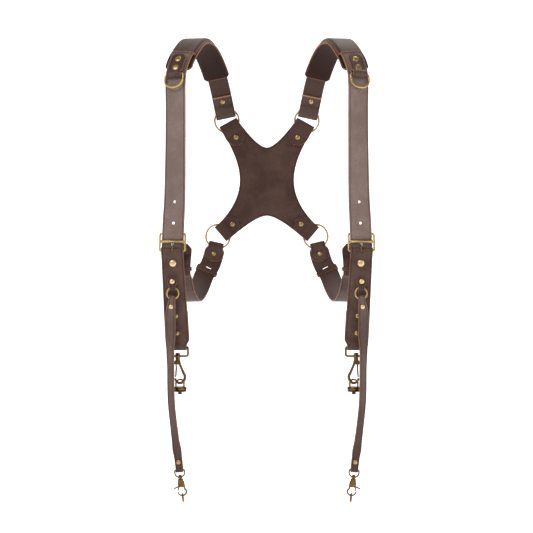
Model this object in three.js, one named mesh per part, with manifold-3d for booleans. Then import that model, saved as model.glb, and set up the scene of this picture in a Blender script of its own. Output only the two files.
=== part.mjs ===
// Leather harness with two shoulder straps that meet in a plate between the shoulder blades.
// Millimetres. +Z is up and the chest side faces -Y. The origin lies midway between the shoulders,
// level with the underside of the pads at their crest. The side at -X is modelled, then mirrored.
import * as THREE from 'three';
import { mergeVertices } from 'three/addons/utils/BufferGeometryUtils.js';
import Module from 'manifold-3d';

const wasm = await Module();
wasm.setup();

// Leather sheets and clearances
const gap = 0.3;
const foldSlack = 0.5;
const strapWidth = 32;
const strapThick = 3;
const tabThick = 2;
const keeperThick = 1.5;

// Whole harness
const bodyDepth = 210;
const chestHalf = 133;
const ringHalf = 64.7;
const archRise = 96;
const rollerDrop = 304;

// Shoulder pad
const padWidth = 42;
const padThick = 4;
const coverWidth = 38;
const coverThick = 1.6;
const padFrontDrop = 50;
const padBackDrop = 37;
const coverInset = 31;

// Rings
const ringWire = 3;
const ringRadius = 19.5;
const ringSides = 12;
const upperRingDrop = 104;
const lowerRingHalf = 79;
const ringAboveRoller = 12.5;
const lowerRingDrop = rollerDrop - ringAboveRoller;

// Plate
const waistHalf = 44;
const waistBelowMiddle = 2.25;
const waistDrop = (upperRingDrop + lowerRingDrop) / 2 + waistBelowMiddle;
const notchBelowRing = 43;
const notchDrop = upperRingDrop + notchBelowRing;
const hemAboveRing = 33.5;
const hemDrop = lowerRingDrop - hemAboveRing;
const armWidth = 32;
const lowerArmWidth = 30;
const upperArmLean = 61;
const lowerArmLean = 40.5;
const upperTabLength = 36;
const lowerTabLength = 32;

// D-ring and its tab
const dWidth = 30.6;
const dHeight = 24;
const dDrop = 63;
const ringTabWidth = 22;
const ringTabLength = 37.5;

// Buckle
const buckleWidth = 40;
const buckleWire = 3;
const buckleWeave = 4;
const topBarRise = 11.5;
const bottomBarDrop = 14.5;
const rollerDiameter = 4.4;
const rollerBarDiameter = 2.6;
const prongDiameter = 2;

// Holes of the shoulder strap
const holeDiameter = 4;
const holePitch = 31;
const holeCount = 3;

// Drop strap
const dropLength = 139;
const dropShift = 8;
const dropTopWidth = 32.4;
const dropLowWidth = 35;
const dropNeck = 26;
const dropTopTail = 34;
const dropLowTail = 52;

// Side strap
const sideLoopDrop = 87;
const sideEndHalf = 127;
const sideNeck = 24;

// Leash tab, ring and tether
const leashWire = 2.5;
const leashRadius = 8.5;
const leashNeck = 9;
const leashTabWidth = 14.4;
const leashDrop = 43;
const leashShift = -2.2;
const tetherWidth = 15;
const tetherLowWidth = 11;
const tetherFall = 254;

// Swivel frame, hook and camera screw
const swivelWidth = 32.7;
const swivelHeight = 15;
const swivelWire = 3;
const hookWire = 4;
const hookLength = 36;
const hookWidth = 17;
const discDiameter = 19;
const discThick = 5;
const screwDiameter = 6.35;
const screwLength = 5.4;
const washerThick = 1.6;

// Lobster clasp
const eyeWidth = 16.4;
const eyeHeight = 13;
const eyeWire = 2.2;
const claspWire = 2.5;
const claspLoopWidth = 14.6;
const claspRingRadius = 6;

// Rivets
const rivetHead = 10;
const studHead = 8;
const smallHead = 7.2;
const headRise = 1.8;
const postDiameter = 4;
const pinSides = 6;

const halfDepth = bodyDepth / 2;
const barRoom = ringWire / 2 + gap + foldSlack;
const foldRadius = barRoom + strapThick / 2;

const leatherFront = new THREE.MeshStandardMaterial({ color: 0x6b5850, roughness: 0.55, metalness: 0 });
const leatherDark = new THREE.MeshStandardMaterial({ color: 0x4a3832, roughness: 0.6, metalness: 0 });
const leatherPad = new THREE.MeshStandardMaterial({ color: 0x3a2823, roughness: 0.7, metalness: 0 });
const brass = new THREE.MeshStandardMaterial({ color: 0xb9924f, roughness: 0.32, metalness: 1 });
const oldBrass = new THREE.MeshStandardMaterial({ color: 0x8a6838, roughness: 0.4, metalness: 1 });
const rubber = new THREE.MeshStandardMaterial({ color: 0x1c1a19, roughness: 0.8, metalness: 0 });

// A closed geometry becomes a solid that can be joined and cut.
function solid(geometry, matrix) {
  const bare = new THREE.BufferGeometry();
  bare.setAttribute('position', geometry.getAttribute('position').clone());
  bare.setIndex(geometry.index);
  if (matrix) bare.applyMatrix4(matrix);
  const merged = mergeVertices(bare, 1e-4);
  const triVerts = new Uint32Array(merged.index.array);
  const vertProperties = new Float32Array(merged.getAttribute('position').array);
  return new wasm.Manifold(new wasm.Mesh({ numProp: 3, vertProperties, triVerts }));
}

function geometryOf(made) {
  const mesh = made.getMesh();
  const geometry = new THREE.BufferGeometry();
  geometry.setAttribute('position', new THREE.BufferAttribute(new Float32Array(mesh.vertProperties), 3));
  geometry.setIndex(new THREE.BufferAttribute(new Uint32Array(mesh.triVerts), 1));
  return geometry;
}

function join(first, ...others) {
  return others.reduce((sum, next) => sum.add(next), first);
}

function cut(first, ...others) {
  return others.reduce((rest, next) => rest.subtract(next), first);
}

// A body through sections of equal point count, closed on itself or capped at both ends.
function loft(sections, closed = false) {
  const count = sections[0].length;
  const points = sections.flat();
  const faces = [];
  const last = closed ? sections.length : sections.length - 1;
  for (let i = 0; i < last; i += 1) {
    const near = i * count;
    const far = ((i + 1) % sections.length) * count;
    for (let j = 0; j < count; j += 1) {
      const k = (j + 1) % count;
      faces.push(near + j, near + k, far + k, near + j, far + k, far + j);
    }
  }
  if (!closed) {
    const end = (sections.length - 1) * count;
    for (let j = 1; j < count - 1; j += 1) {
      faces.push(0, j + 1, j, end, end + j, end + j + 1);
    }
  }
  const volume = (from) => {
    const [a, b, c] = [0, 1, 2].map((k) => points[faces[from + k]]);
    return a.dot(b.clone().cross(c));
  };
  let sum = 0;
  for (let i = 0; i < faces.length; i += 3) sum += volume(i);
  if (sum < 0) faces.reverse();
  const geometry = new THREE.BufferGeometry();
  const flat = points.flatMap((point) => [point.x, point.y, point.z]);
  geometry.setAttribute('position', new THREE.Float32BufferAttribute(flat, 3));
  geometry.setIndex(faces);
  return geometry;
}

// The line that a strap follows. Columns of a row: x, y, z, facing and turn, both in degrees.
// Facing 0 looks to the chest side, 90 up, 180 to the back and 270 down; turn swings it outward.
class Course {
  constructor(rows, across = null) {
    this.rows = rows;
    this.across = across;
    const points = rows.map(([x, y, z]) => new THREE.Vector3(x, y, z));
    this.curve = new THREE.CatmullRomCurve3(points, false, 'centripetal');
    this.curve.arcLengthDivisions = 600;
    this.length = this.curve.getLength();
    this.marks = [];
  }

  // Sections that all pieces on this course share: evenly spaced ones and the named places.
  divide(from, to, step, places = []) {
    const even = run(from, to, step, 0, 0).map(([s]) => s);
    const kept = [...this.marks, ...places];
    const free = even.filter((s) => kept.every((place) => Math.abs(place - s) > step / 3));
    this.marks = [...kept, ...free].sort((a, b) => a - b);
  }

  // Rows from one place to another, through the marks between them.
  rowsBetween(from, to, v, width) {
    const [low, high] = [Math.min(from, to), Math.max(from, to)];
    const inner = this.marks.filter((s) => s > low + 0.5 && s < high - 0.5);
    const all = [low, ...inner, high].map((s) => [s, v, width]);
    return from < to ? all : all.reverse();
  }

  at(s) {
    const inside = Math.min(Math.max(s, 0), this.length);
    const t = this.curve.getUtoTmapping(inside / this.length);
    const along = this.curve.getTangent(t);
    const point = this.curve.getPoint(t).addScaledVector(along, s - inside);
    const place = t * (this.rows.length - 1);
    const low = Math.min(Math.floor(place), this.rows.length - 2);
    const mix = (column) => {
      return THREE.MathUtils.lerp(this.rows[low][column], this.rows[low + 1][column], place - low);
    };
    const facing = THREE.MathUtils.degToRad(mix(3));
    const turn = THREE.MathUtils.degToRad(mix(4));
    const face = new THREE.Vector3(
      -Math.sin(turn), -Math.cos(facing) * Math.cos(turn), Math.sin(facing) * Math.cos(turn));
    const across = this.across
      ? this.across.clone()
      : new THREE.Vector3().crossVectors(along, face).normalize();
    const out = new THREE.Vector3().crossVectors(across, along).normalize();
    if (out.dot(face) < 0) out.negate();
    return { point, along, across, out };
  }

  // Where the line first passes a height, seen from a given start.
  heightAt(z, start = 0) {
    const side = Math.sign(this.at(start).point.z - z);
    for (let s = start; s < this.length; s += 0.25) {
      if (Math.sign(this.at(s).point.z - z) !== side) return s;
    }
    return this.length;
  }

  // Placing matrix at s: local X across, local -Y outward, local Z along the line, or against it.
  frame(s, v = 0, side = 0, up = 1) {
    const { point, along, across, out } = this.at(s);
    const origin = point.addScaledVector(out, v).addScaledVector(across, side);
    const inward = out.negate();
    const z = along.multiplyScalar(up);
    const x = new THREE.Vector3().crossVectors(inward, z).normalize();
    return new THREE.Matrix4().makeBasis(x, inward, z).setPosition(origin);
  }
}

// A strip of leather on a course. Columns of a row: s along the course, v outward, width.
function strip(course, rows, thick, side = 0) {
  const flat = rows.map(([s, v]) => new THREE.Vector2(s, v));
  const sections = rows.map(([s, v, width], i) => {
    const before = flat[Math.max(i - 1, 0)];
    const after = flat[Math.min(i + 1, rows.length - 1)];
    const into = flat[i].clone().sub(before).normalize();
    const away = after.clone().sub(flat[i]).normalize();
    const along = into.clone().add(away).normalize();
    const stretch = 1 / Math.max(along.dot(into.lengthSq() ? into : away), 0.7);
    const place = course.at(s);
    const middle = place.point.addScaledVector(place.out, v).addScaledVector(place.across, side);
    const normal = place.out.clone().multiplyScalar(along.x).addScaledVector(place.along, -along.y);
    normal.multiplyScalar((thick / 2) * stretch);
    const half = place.across.clone().multiplyScalar(width / 2);
    return [[-1, -1], [1, -1], [1, 1], [-1, 1]].map(([a, b]) => {
      return middle.clone().addScaledVector(half, a).addScaledVector(normal, b);
    });
  });
  return loft(sections);
}

// Evenly spaced rows between two places of a course.
function run(from, to, step, v, width) {
  const count = Math.max(1, Math.round(Math.abs(to - from) / step));
  const rows = [];
  for (let i = 0; i <= count; i += 1) {
    rows.push([from + ((to - from) * i) / count, v, width]);
  }
  return rows;
}

// The half turn of a fold round a bar at (s, v), bulging toward +s or -s, from one face to the other.
function fold(s, v, radius, ahead, from, width) {
  return [0, 60, 120, 180].map((degrees) => {
    const angle = THREE.MathUtils.degToRad(degrees);
    return [s + ahead * radius * Math.sin(angle), v + from * radius * Math.cos(angle), width];
  });
}

// A rounded tab end that reaches `tip`, coming from smaller or larger s.
function roundEnd(tip, ahead, v, width) {
  return [[0.5, 1], [0.2, 0.8], [0, 0.3]].map(([back, share]) => {
    return [tip - ahead * back * width, v, width * share];
  });
}

// How far a ring's wire falls below its top at the edge of a fold of this width.
function ringFall(radius, width, diameter = ringWire) {
  const inner = (radius - diameter / 2) * Math.cos(Math.PI / ringSides);
  return radius - diameter / 2 - Math.sqrt(inner * inner - (width * width) / 4);
}

// A rivet along local -Y: a domed head on the face at `front` and one on the face at `back`.
function rivet(matrix, front, back, head, post = postDiameter, seat = 0, backHead = head) {
  const radius = head / 2;
  const under = backHead / 2;
  const high = front + seat;
  const low = back - seat;
  const profile = [
    [0, high + headRise], [radius * 0.7, high + headRise * 0.8], [radius, high], [post / 2, high],
    [post / 2, low], [under, low], [0, low - headRise * 0.7],
  ].map(([x, y]) => new THREE.Vector2(x, y)).reverse();
  const outward = new THREE.Matrix4().makeRotationX(Math.PI);
  return solid(new THREE.LatheGeometry(profile, pinSides), matrix.clone().multiply(outward));
}

// A round pin or drill along local Y, between two places on the outward axis.
function pin(matrix, front, back, diameter) {
  const geometry = new THREE.CylinderGeometry(diameter / 2, diameter / 2, front - back, pinSides);
  const middle = new THREE.Matrix4().makeTranslation(0, -(front + back) / 2, 0);
  return solid(geometry, matrix.clone().multiply(middle));
}

// A round wire through points of the local XZ plane; closed loops have no ends.
function wire(points, diameter, closed = true, sides = 5) {
  const sections = points.map(([x, z], i) => {
    const last = points.length - 1;
    const before = points[closed ? (i + last) % points.length : Math.max(i - 1, 0)];
    const after = points[closed ? (i + 1) % points.length : Math.min(i + 1, last)];
    const into = new THREE.Vector2(x - before[0], z - before[1]).normalize();
    const away = new THREE.Vector2(after[0] - x, after[1] - z).normalize();
    const along = into.clone().add(away).normalize();
    const stretch = 1 / Math.max(along.dot(into.lengthSq() ? into : away), 0.7);
    return Array.from({ length: sides }, (_, k) => {
      const angle = ((k + 0.5) / sides) * 2 * Math.PI;
      const flat = (diameter / 2) * Math.cos(angle) * stretch;
      return new THREE.Vector3(x - along.y * flat, (diameter / 2) * Math.sin(angle), z + along.x * flat);
    });
  });
  return loft(sections, closed);
}

// Points of an arc in degrees, counted from local +X toward local +Z.
function arc(x, z, radiusX, radiusZ, from, to, steps) {
  return Array.from({ length: steps + 1 }, (_, i) => {
    const angle = THREE.MathUtils.degToRad(from + ((to - from) * i) / steps);
    return [x + radiusX * Math.cos(angle), z + radiusZ * Math.sin(angle)];
  });
}

// A rounded rectangle centred on x = 0 whose top bar lies on z = 0.
function frameLoop(width, height, corner) {
  const x = width / 2 - corner;
  return [
    ...arc(x, -corner, corner, corner, 90, 0, 1), ...arc(x, corner - height, corner, corner, 0, -90, 1),
    ...arc(-x, corner - height, corner, corner, -90, -180, 1), ...arc(-x, -corner, corner, corner, 180, 90, 1),
  ];
}

// A D whose straight bar lies on z = 0, hanging below it.
function dLoop(width, height, corner) {
  const x = width / 2;
  return [
    ...arc(x - corner, -corner, corner, corner, 90, 0, 1),
    ...arc(0, -(height - x * 0.9), x, x * 0.9, 0, -180, 6),
    ...arc(corner - x, -corner, corner, corner, 180, 90, 1),
  ];
}

function piece(group, name, geometry, material, matrix) {
  const mesh = new THREE.Mesh(geometry, material);
  mesh.name = name;
  if (matrix) mesh.applyMatrix4(matrix);
  group.add(mesh);
  return mesh;
}

// The shoulder strap's line, from its loose end behind the buckle to the centre of the upper ring.
const crestLift = strapThick / 2 + gap + padThick;
const springZ = crestLift - archRise;
const buckleHalf = chestHalf * 1.032;
const looseEnd = bottomBarDrop + 1.5;
const chestRows = [
  // x as a share of chestHalf, z as a share of rollerDrop, turn
  [1.021, 0.905, 4],
  [1.008, 0.79, 12],
  [1.0, 0.56, 20],
  [0.998, 0.35, 22],
];
const archRows = [
  // degrees round the arch, way inward from chest to ring as a share, turn
  [8, 0.0, 20], [20, 0.01, 16], [35, 0.085, 10], [50, 0.19, 6], [70, 0.31, 3], [90, 0.43, 0],
  [110, 0.55, 0], [130, 0.675, 0], [148, 0.79, 0], [165, 0.88, 0], [178, 0.945, 0],
];
const shoulder = new Course([
  [-buckleHalf - 0.5, buckleWeave - halfDepth, -rollerDrop - looseEnd, 0, 0],
  [-buckleHalf, buckleWeave - halfDepth, -rollerDrop, 0, 0],
  [-buckleHalf + 0.8, -halfDepth, topBarRise - rollerDrop, 0, 0],
  ...chestRows.map(([x, z, turn]) => [-x * chestHalf, -halfDepth, -z * rollerDrop, 0, turn]),
  ...archRows.map(([degrees, inward, turn]) => {
    const angle = THREE.MathUtils.degToRad(degrees);
    const x = inward * (chestHalf - ringHalf) - chestHalf;
    return [x, -halfDepth * Math.cos(angle), springZ + archRise * Math.sin(angle), degrees, turn];
  }),
  [-ringHalf, halfDepth, -upperRingDrop, 180, 0],
]);

// The buckle leans with the strap that weaves through it: behind the roller, before the top bar.
const topBarPlace = shoulder.heightAt(topBarRise - rollerDrop);
const rollerPlace = shoulder.heightAt(-rollerDrop);
const topBar = shoulder.at(topBarPlace).point;
topBar.y += strapThick / 2 + 3 * gap + buckleWire / 2;
const rollerBar = shoulder.at(rollerPlace).point;
rollerBar.y -= strapThick / 2 + 2 * gap + rollerDiameter / 2;
topBar.x = -buckleHalf;
rollerBar.x = -buckleHalf;
const buckleUp = topBar.clone().sub(rollerBar).normalize();
const bottomBar = rollerBar.clone().addScaledVector(buckleUp, -bottomBarDrop);
const rightward = new THREE.Vector3(1, 0, 0);
const buckleFrame = new THREE.Matrix4()
  .makeBasis(rightward, new THREE.Vector3().crossVectors(buckleUp, rightward), buckleUp)
  .setPosition(topBar);
const rollerReach = topBar.distanceTo(rollerBar);

// The drop strap hangs from the buckle's bottom bar to the swivel frame's top bar.
const drop = new Course([0, 0.5, 1].map((share) => {
  return [bottomBar.x + dropShift * share, bottomBar.y, bottomBar.z - dropLength * share, 0, 0];
}), rightward);
const dropLayer = (strapThick + gap) / 2;
const dropFace = dropLayer + strapThick / 2;

// The side strap's line, from the centre of the lower ring, under the arm, to the chest side.
const sideTopZ = -(rollerDrop + 2);
const keeperY = bottomBar.y + dropFace + 2 * gap + keeperThick + strapThick / 2;
const behindTailY = buckleWeave - halfDepth + strapThick + 2 * gap;
const sideRows = [
  // way outward from ring to front end, depth as a share of halfDepth, share of sideLoopDrop, facing
  [0.25, 0.93, 0.35, 186], [0.43, 0.81, 0.53, 200], [0.6, 0.48, 0.816, 232], [0.72, 0.14, 0.965, 262],
  [0.82, -0.18, 0.985, 285], [0.925, -0.52, 0.83, 318], [0.99, -0.82, 0.57, 345],
];
const sideStrap = new Course([
  [-lowerRingHalf, halfDepth, -lowerRingDrop, 180, 0],
  [-lowerRingHalf - 0.13 * (sideEndHalf - lowerRingHalf), halfDepth, -lowerRingDrop - 26, 180, 0],
  ...sideRows.map(([out, depth, down, facing]) => {
    const x = -lowerRingHalf - out * (sideEndHalf - lowerRingHalf);
    return [x, depth * halfDepth, sideTopZ - down * sideLoopDrop, facing, 0];
  }),
  [-sideEndHalf, keeperY + 1.8, -rollerDrop - 48, 360, 0],
  [-sideEndHalf, keeperY, -rollerDrop - 37, 360, 0],
  [-sideEndHalf + 0.5, keeperY, -rollerDrop - 27, 360, 0],
  [-sideEndHalf + 1, behindTailY, -rollerDrop - 18, 360, 0],
  [-sideEndHalf + 2.2, behindTailY, sideTopZ, 360, 0],
]);

// The tether hangs from the leash ring, which lies in its tab before the drop strap.
const leashFold = leashWire / 2 + gap + foldSlack + tabThick / 2;
const leashBack = dropFace + gap + tabThick / 2;
const leashPlane = leashBack + leashFold;
const leashFall = ringFall(leashRadius, leashNeck, leashWire);
const leashReach = leashFall + leashWire / 2 + gap + foldSlack;
const leashBend = leashRadius - leashFall;
const leashCentre = leashDrop + 18.4;
const tetherRows = [
  // inward from the ring, forward, down as a share of tetherFall, turn
  [0, 0, 0, 0], [-3, 0.5, 0.117, 0], [-3, 2.5, 0.24, 0], [-3, 4.5, 0.31, 36], [-2.4, 4.5, 0.42, 45],
  [-2.1, 4.5, 0.55, 45], [-1.2, 4.5, 0.63, 45], [1.4, 4.5, 0.73, 45], [4.9, 4.5, 0.84, 40],
  [8.4, 4.5, 0.935, 10], [10, 4.5, 1, 0],
];
const leashMiddle = drop.at(leashCentre).point;
leashMiddle.x += leashShift;
leashMiddle.y -= leashPlane;
const tether = new Course(tetherRows.map(([inward, forward, down, turn]) => {
  const { x, y, z } = leashMiddle;
  return [x + inward, y - leashFold - forward, z - down * tetherFall, 0, turn];
}));

// The four arms of the plate, from the centre of each ring inward.
function armCourse(side, ringX, ringZ, lean) {
  const angle = THREE.MathUtils.degToRad(lean);
  return new Course([0, 30, 60].map((s) => {
    return [side * (ringX - s * Math.cos(angle)), halfDepth, ringZ + s * Math.sin(angle), 180, 0];
  }));
}

function ringBend(width) {
  return ringRadius - ringFall(ringRadius, width);
}

const arms = [-1, 1].flatMap((side) => [
  { side, width: armWidth, tip: upperTabLength, name: 'yoke_upper_stud',
    course: armCourse(side, ringHalf, -upperRingDrop, -upperArmLean) },
  { side, width: lowerArmWidth, tip: lowerTabLength, name: 'yoke_lower_stud',
    course: armCourse(side, lowerRingHalf, -lowerRingDrop, lowerArmLean) },
]);

// A stud sits just past the place where the folded tab comes to lie on its arm.
function studPlace({ width }) {
  return ringBend(width) + ringFall(ringRadius, width) + barRoom + 5 + studHead / 2;
}

// A tab that is folded back round a ring: main layer at v = 0, tail on the body side.
function armFold({ course, width, tip }) {
  const bend = ringBend(width);
  const reach = ringFall(ringRadius, width) + barRoom;
  const layer = -(strapThick + gap);
  return strip(course, [
    [bend + 12, 0, width],
    ...fold(bend, -foldRadius, foldRadius, -1, 1, width),
    [bend + reach, -2 * foldRadius, width],
    [bend + reach + 4, layer, width],
    ...roundEnd(bend + tip, 1, layer, width),
  ], strapThick);
}

function backYoke() {
  const [upper, lower] = arms;
  const corner = (arm, sign) => {
    const { point, across } = arm.course.at(ringBend(arm.width));
    return point.addScaledVector(across, (sign * arm.width) / 2);
  };
  const innerTop = corner(upper, 1);
  const outerTop = corner(upper, -1);
  const outerLow = corner(lower, 1);
  const innerLow = corner(lower, -1);
  const half = (shape, sign) => {
    const curve = (cx, cz, x, z) => shape.quadraticCurveTo(sign * cx, cz, sign * x, z);
    return { curve, line: (x, z) => shape.lineTo(sign * x, z) };
  };
  const shape = new THREE.Shape();
  shape.moveTo(0, -notchDrop);
  const left = half(shape, 1);
  left.curve(-0.34 * waistHalf, -notchDrop, innerTop.x, innerTop.z);
  left.line(outerTop.x, outerTop.z);
  left.curve(-waistHalf, -waistDrop + 35, -waistHalf, -waistDrop);
  left.curve(-waistHalf, -waistDrop - 38, outerLow.x, outerLow.z);
  left.line(innerLow.x, innerLow.z);
  left.curve(-0.41 * waistHalf, -hemDrop, 0, -hemDrop);
  const right = half(shape, -1);
  right.curve(-0.41 * waistHalf, -hemDrop, innerLow.x, innerLow.z);
  right.line(outerLow.x, outerLow.z);
  right.curve(-waistHalf, -waistDrop - 38, -waistHalf, -waistDrop);
  right.curve(-waistHalf, -waistDrop + 35, outerTop.x, outerTop.z);
  right.line(innerTop.x, innerTop.z);
  right.curve(-0.34 * waistHalf, -notchDrop, 0, -notchDrop);
  const plate = new THREE.ExtrudeGeometry(shape, {
    depth: strapThick, bevelEnabled: false, curveSegments: 4,
  });
  const upright = new THREE.Matrix4().makeRotationX(Math.PI / 2);
  upright.setPosition(0, halfDepth + strapThick / 2, 0);
  const folds = arms.map((arm) => solid(armFold(arm)));
  const holes = arms.map((arm) => {
    return pin(arm.course.frame(studPlace(arm)), 9, -9, postDiameter + 2 * gap);
  });
  return cut(join(solid(plate, upright), ...folds), ...holes);
}

function yokeStud({ course, width }) {
  const matrix = course.frame(studPlace({ width }));
  const back = -(1.5 * strapThick + gap);
  return rivet(matrix, strapThick / 2, back, studHead, postDiameter, gap);
}

const ringGeometry = (radius, diameter, sides = ringSides) => {
  return new THREE.TorusGeometry(radius, diameter / 2, 5, sides).rotateX(Math.PI / 2);
};

// Places along the shoulder strap.
const shoulderBend = shoulder.length - ringBend(strapWidth);
const ringReach = ringFall(ringRadius, strapWidth) + barRoom;
const tailLayer = -(strapThick + gap);
const backStudPlace = shoulderBend - ringReach - 10;
const springPlace = shoulder.heightAt(springZ);
const padFront = shoulder.heightAt(-padFrontDrop);
const padBack = shoulder.heightAt(-padBackDrop, padFront + 60);
const dBarPlace = shoulder.heightAt(-dDrop);
const holeInUse = shoulder.heightAt(bottomBar.z + 10.3);
const padCorner = 4;
const coverEnds = [padFront + coverInset, padBack - padCorner - 2];
const archPlaces = [padFront, padFront + padCorner, ...coverEnds, padBack - padCorner, padBack];
const weaveEnd = rollerPlace + 32;
shoulder.divide(0, weaveEnd, 8);
shoulder.divide(weaveEnd, springPlace, 44);
shoulder.divide(springPlace, shoulderBend, 24, archPlaces);

function shoulderStrap() {
  const body = strip(shoulder, [
    ...shoulder.rowsBetween(0, shoulderBend - 2, 0, strapWidth),
    ...fold(shoulderBend, -foldRadius, foldRadius, 1, 1, strapWidth),
    [shoulderBend - ringReach, -2 * foldRadius, strapWidth],
    [shoulderBend - ringReach - 5, tailLayer, strapWidth],
    [backStudPlace - 9, tailLayer, strapWidth],
  ], strapThick);
  const long = 6 * prongDiameter;
  const used = strip(shoulder, [
    [holeInUse - long / 2, 0, 1.5 * prongDiameter], [holeInUse + long / 2, 0, 1.5 * prongDiameter],
  ], 2 * strapThick);
  const free = Array.from({ length: holeCount - 1 }, (_, i) => {
    return pin(shoulder.frame(holeInUse + holePitch * (i + 1)), 4, -4, holeDiameter);
  });
  const posts = ringTabRivets.map((s) => pin(shoulder.frame(s), 4, -4, postDiameter + 2 * gap));
  const stud = pin(shoulder.frame(backStudPlace), 4, -9, postDiameter + 2 * gap);
  return cut(solid(body), solid(used), stud, ...free, ...posts);
}

// The pad is a sleeve: a wide base under the strap, a crowned cover over it, sewn together at the sides.
function shoulderPad() {
  const baseLayer = -(strapThick / 2 + gap + padThick / 2);
  const base = strip(shoulder, [
    [padFront, baseLayer, padWidth - 2 * padCorner],
    ...shoulder.rowsBetween(padFront + padCorner, padBack - padCorner, baseLayer, padWidth),
    [padBack, baseLayer, padWidth - 2 * padCorner],
  ], padThick);
  const crown = strapThick / 2 + gap + coverThick;
  const cover = shoulder.rowsBetween(...coverEnds, 0, 0).map(([s]) => {
    const { point, across, out } = shoulder.at(s);
    const low = -(strapThick / 2 + gap + padThick / 2);
    return [[-0.5, low], [0.5, low], [0.44, crown], [-0.44, crown]]
      .map(([share, v]) => point.clone().addScaledVector(across, share * coverWidth).addScaledVector(out, v));
  });
  const channel = strip(shoulder,
    shoulder.rowsBetween(padFront - padCorner, padBack + padCorner, 0, strapWidth + 2 * gap),
    strapThick + 2 * gap + foldSlack);
  return cut(join(solid(base), solid(loft(cover))), solid(channel));
}

// Ring tab: two layers round the D-ring's bar, riveted through the strap.
const tabBack = strapThick / 2 + 2 * gap + tabThick / 2;
const tabFold = barRoom + tabThick / 2;
const dPlane = tabBack + tabFold;
const tabFront = tabBack + tabThick + gap;
const ringTabRivets = [dBarPlace + 10.5, dBarPlace + ringTabLength - 12];

function tack(matrix, front, back, head = smallHead) {
  const radius = head / 2;
  const profile = [
    [0, back], [postDiameter / 2, back], [postDiameter / 2, front - 0.4], [radius, front - 0.4],
    [radius * 0.75, front + headRise * 0.85], [0, front + headRise],
  ].map(([x, y]) => new THREE.Vector2(x, y));
  const outward = new THREE.Matrix4().makeRotationX(Math.PI);
  return solid(new THREE.LatheGeometry(profile, pinSides), matrix.clone().multiply(outward));
}

function ringTab() {
  const tip = dBarPlace + ringTabLength;
  const body = strip(shoulder, [
    [tip - 5, tabBack, ringTabWidth - 4],
    ...shoulder.rowsBetween(tip - 7, dBarPlace + 3, tabBack, ringTabWidth),
    ...fold(dBarPlace, dPlane, tabFold, -1, -1, ringTabWidth),
    [dBarPlace + 3, dPlane + tabFold, ringTabWidth],
    ...shoulder.rowsBetween(dBarPlace + 8, tip - ringTabWidth / 2, tabFront, ringTabWidth),
    ...roundEnd(tip, 1, tabFront, ringTabWidth).slice(1),
  ], tabThick);
  const face = tabFront + tabThick / 2;
  const heads = ringTabRivets.map((s) => tack(shoulder.frame(s), face, -strapThick / 2 + 0.2, rivetHead));
  return join(solid(body), ...heads);
}

// Buckle parts are placed from the top bar; local Z runs up the frame.
function buckleSolid() {
  const height = rollerReach + bottomBarDrop;
  const loop = wire(frameLoop(buckleWidth - buckleWire, height, 1.6), buckleWire);
  const bar = new THREE.CylinderGeometry(rollerBarDiameter / 2, rollerBarDiameter / 2,
    buckleWidth - buckleWire, 8).rotateZ(Math.PI / 2).translate(0, 0, -rollerReach);
  return join(solid(loop), solid(bar));
}

function rollerGeometry() {
  const half = buckleWidth / 2 - buckleWire - gap;
  const bore = rollerBarDiameter / 2 + gap;
  const profile = [[bore, -half], [rollerDiameter / 2, -half], [rollerDiameter / 2, half], [bore, half],
    [bore, -half]].map(([x, y]) => new THREE.Vector2(x, y));
  return new THREE.LatheGeometry(profile, 8).rotateZ(Math.PI / 2).translate(0, 0, -rollerReach);
}

// The prong's loop goes round the bottom bar; its shank passes the strap's hole from front to back.
function prongGeometry() {
  const loop = buckleWire / 2 + gap + prongDiameter / 2;
  const points = [
    ...arc(0, 0, loop, loop, 120, 360, 5), [4.5, 4], [8, 8.6], [10.9, 13], [10.6, 18], [9, 21.5],
  ];
  return wire(points, prongDiameter, false);
}

function dropStrap() {
  const low = drop.length;
  const lower = foldRadius;
  const body = strip(drop, [
    [dropTopTail, -dropLayer, dropTopWidth],
    [12, -dropLayer, dropTopWidth],
    [5, -foldRadius, dropTopWidth],
    ...fold(0, 0, foldRadius, -1, -1, dropTopWidth),
    [5, foldRadius, dropTopWidth],
    [12, dropLayer, dropTopWidth],
    [low - 13, dropLayer, dropLowWidth],
    [low - 8, 0.6 * lower, dropLowWidth],
    [low - 2.6, lower, dropNeck],
    ...fold(low, 0, lower, 1, 1, dropNeck),
    [low - 2.6, -lower, dropNeck],
    [low - 8, -0.6 * lower, dropLowWidth],
    [low - 13, -dropLayer, dropLowWidth],
    [low - dropLowTail, -dropLayer, dropLowWidth],
  ], strapThick);
  const slot = strip(drop, [[-6, 0, 3.4], [6, 0, 3.4]], 4 * foldRadius);
  const post = pin(drop.frame(dropRivetPlace, 0, 0, -1), 9, -9, postDiameter + 2 * gap);
  const leash = pin(drop.frame(leashRivetPlace, 0, leashShift, -1), 9, -9, postDiameter + 2 * gap);
  const low1 = low - dropLowTail + 7;
  const heads = [low1, low1 + 25].map((s) => {
    return rivet(drop.frame(s, 0, 0, -1), dropFace, -dropFace, smallHead, postDiameter, -0.2);
  });
  return join(cut(solid(body), solid(slot), post, leash), ...heads);
}

const dropRivetPlace = 18;
const leashRivetPlace = leashDrop + 1.5;
const sideBend = ringBend(sideNeck);
const keeperPlaces = {
  side: sideStrap.heightAt(sideTopZ - 41),
  front: sideStrap.heightAt(-rollerDrop - 39.5, sideStrap.length * 0.6),
};
const keeperHalf = { side: 4, front: 3 };
const keeperMarks = ['side', 'front'].flatMap((key) => {
  const [place, half] = [keeperPlaces[key], keeperHalf[key]];
  return [place - half, place, place + half];
});
sideStrap.divide(0, sideStrap.length, 22, [...keeperMarks, ...[25, 16, 7].map((back) => sideStrap.length - back)]);

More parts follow.
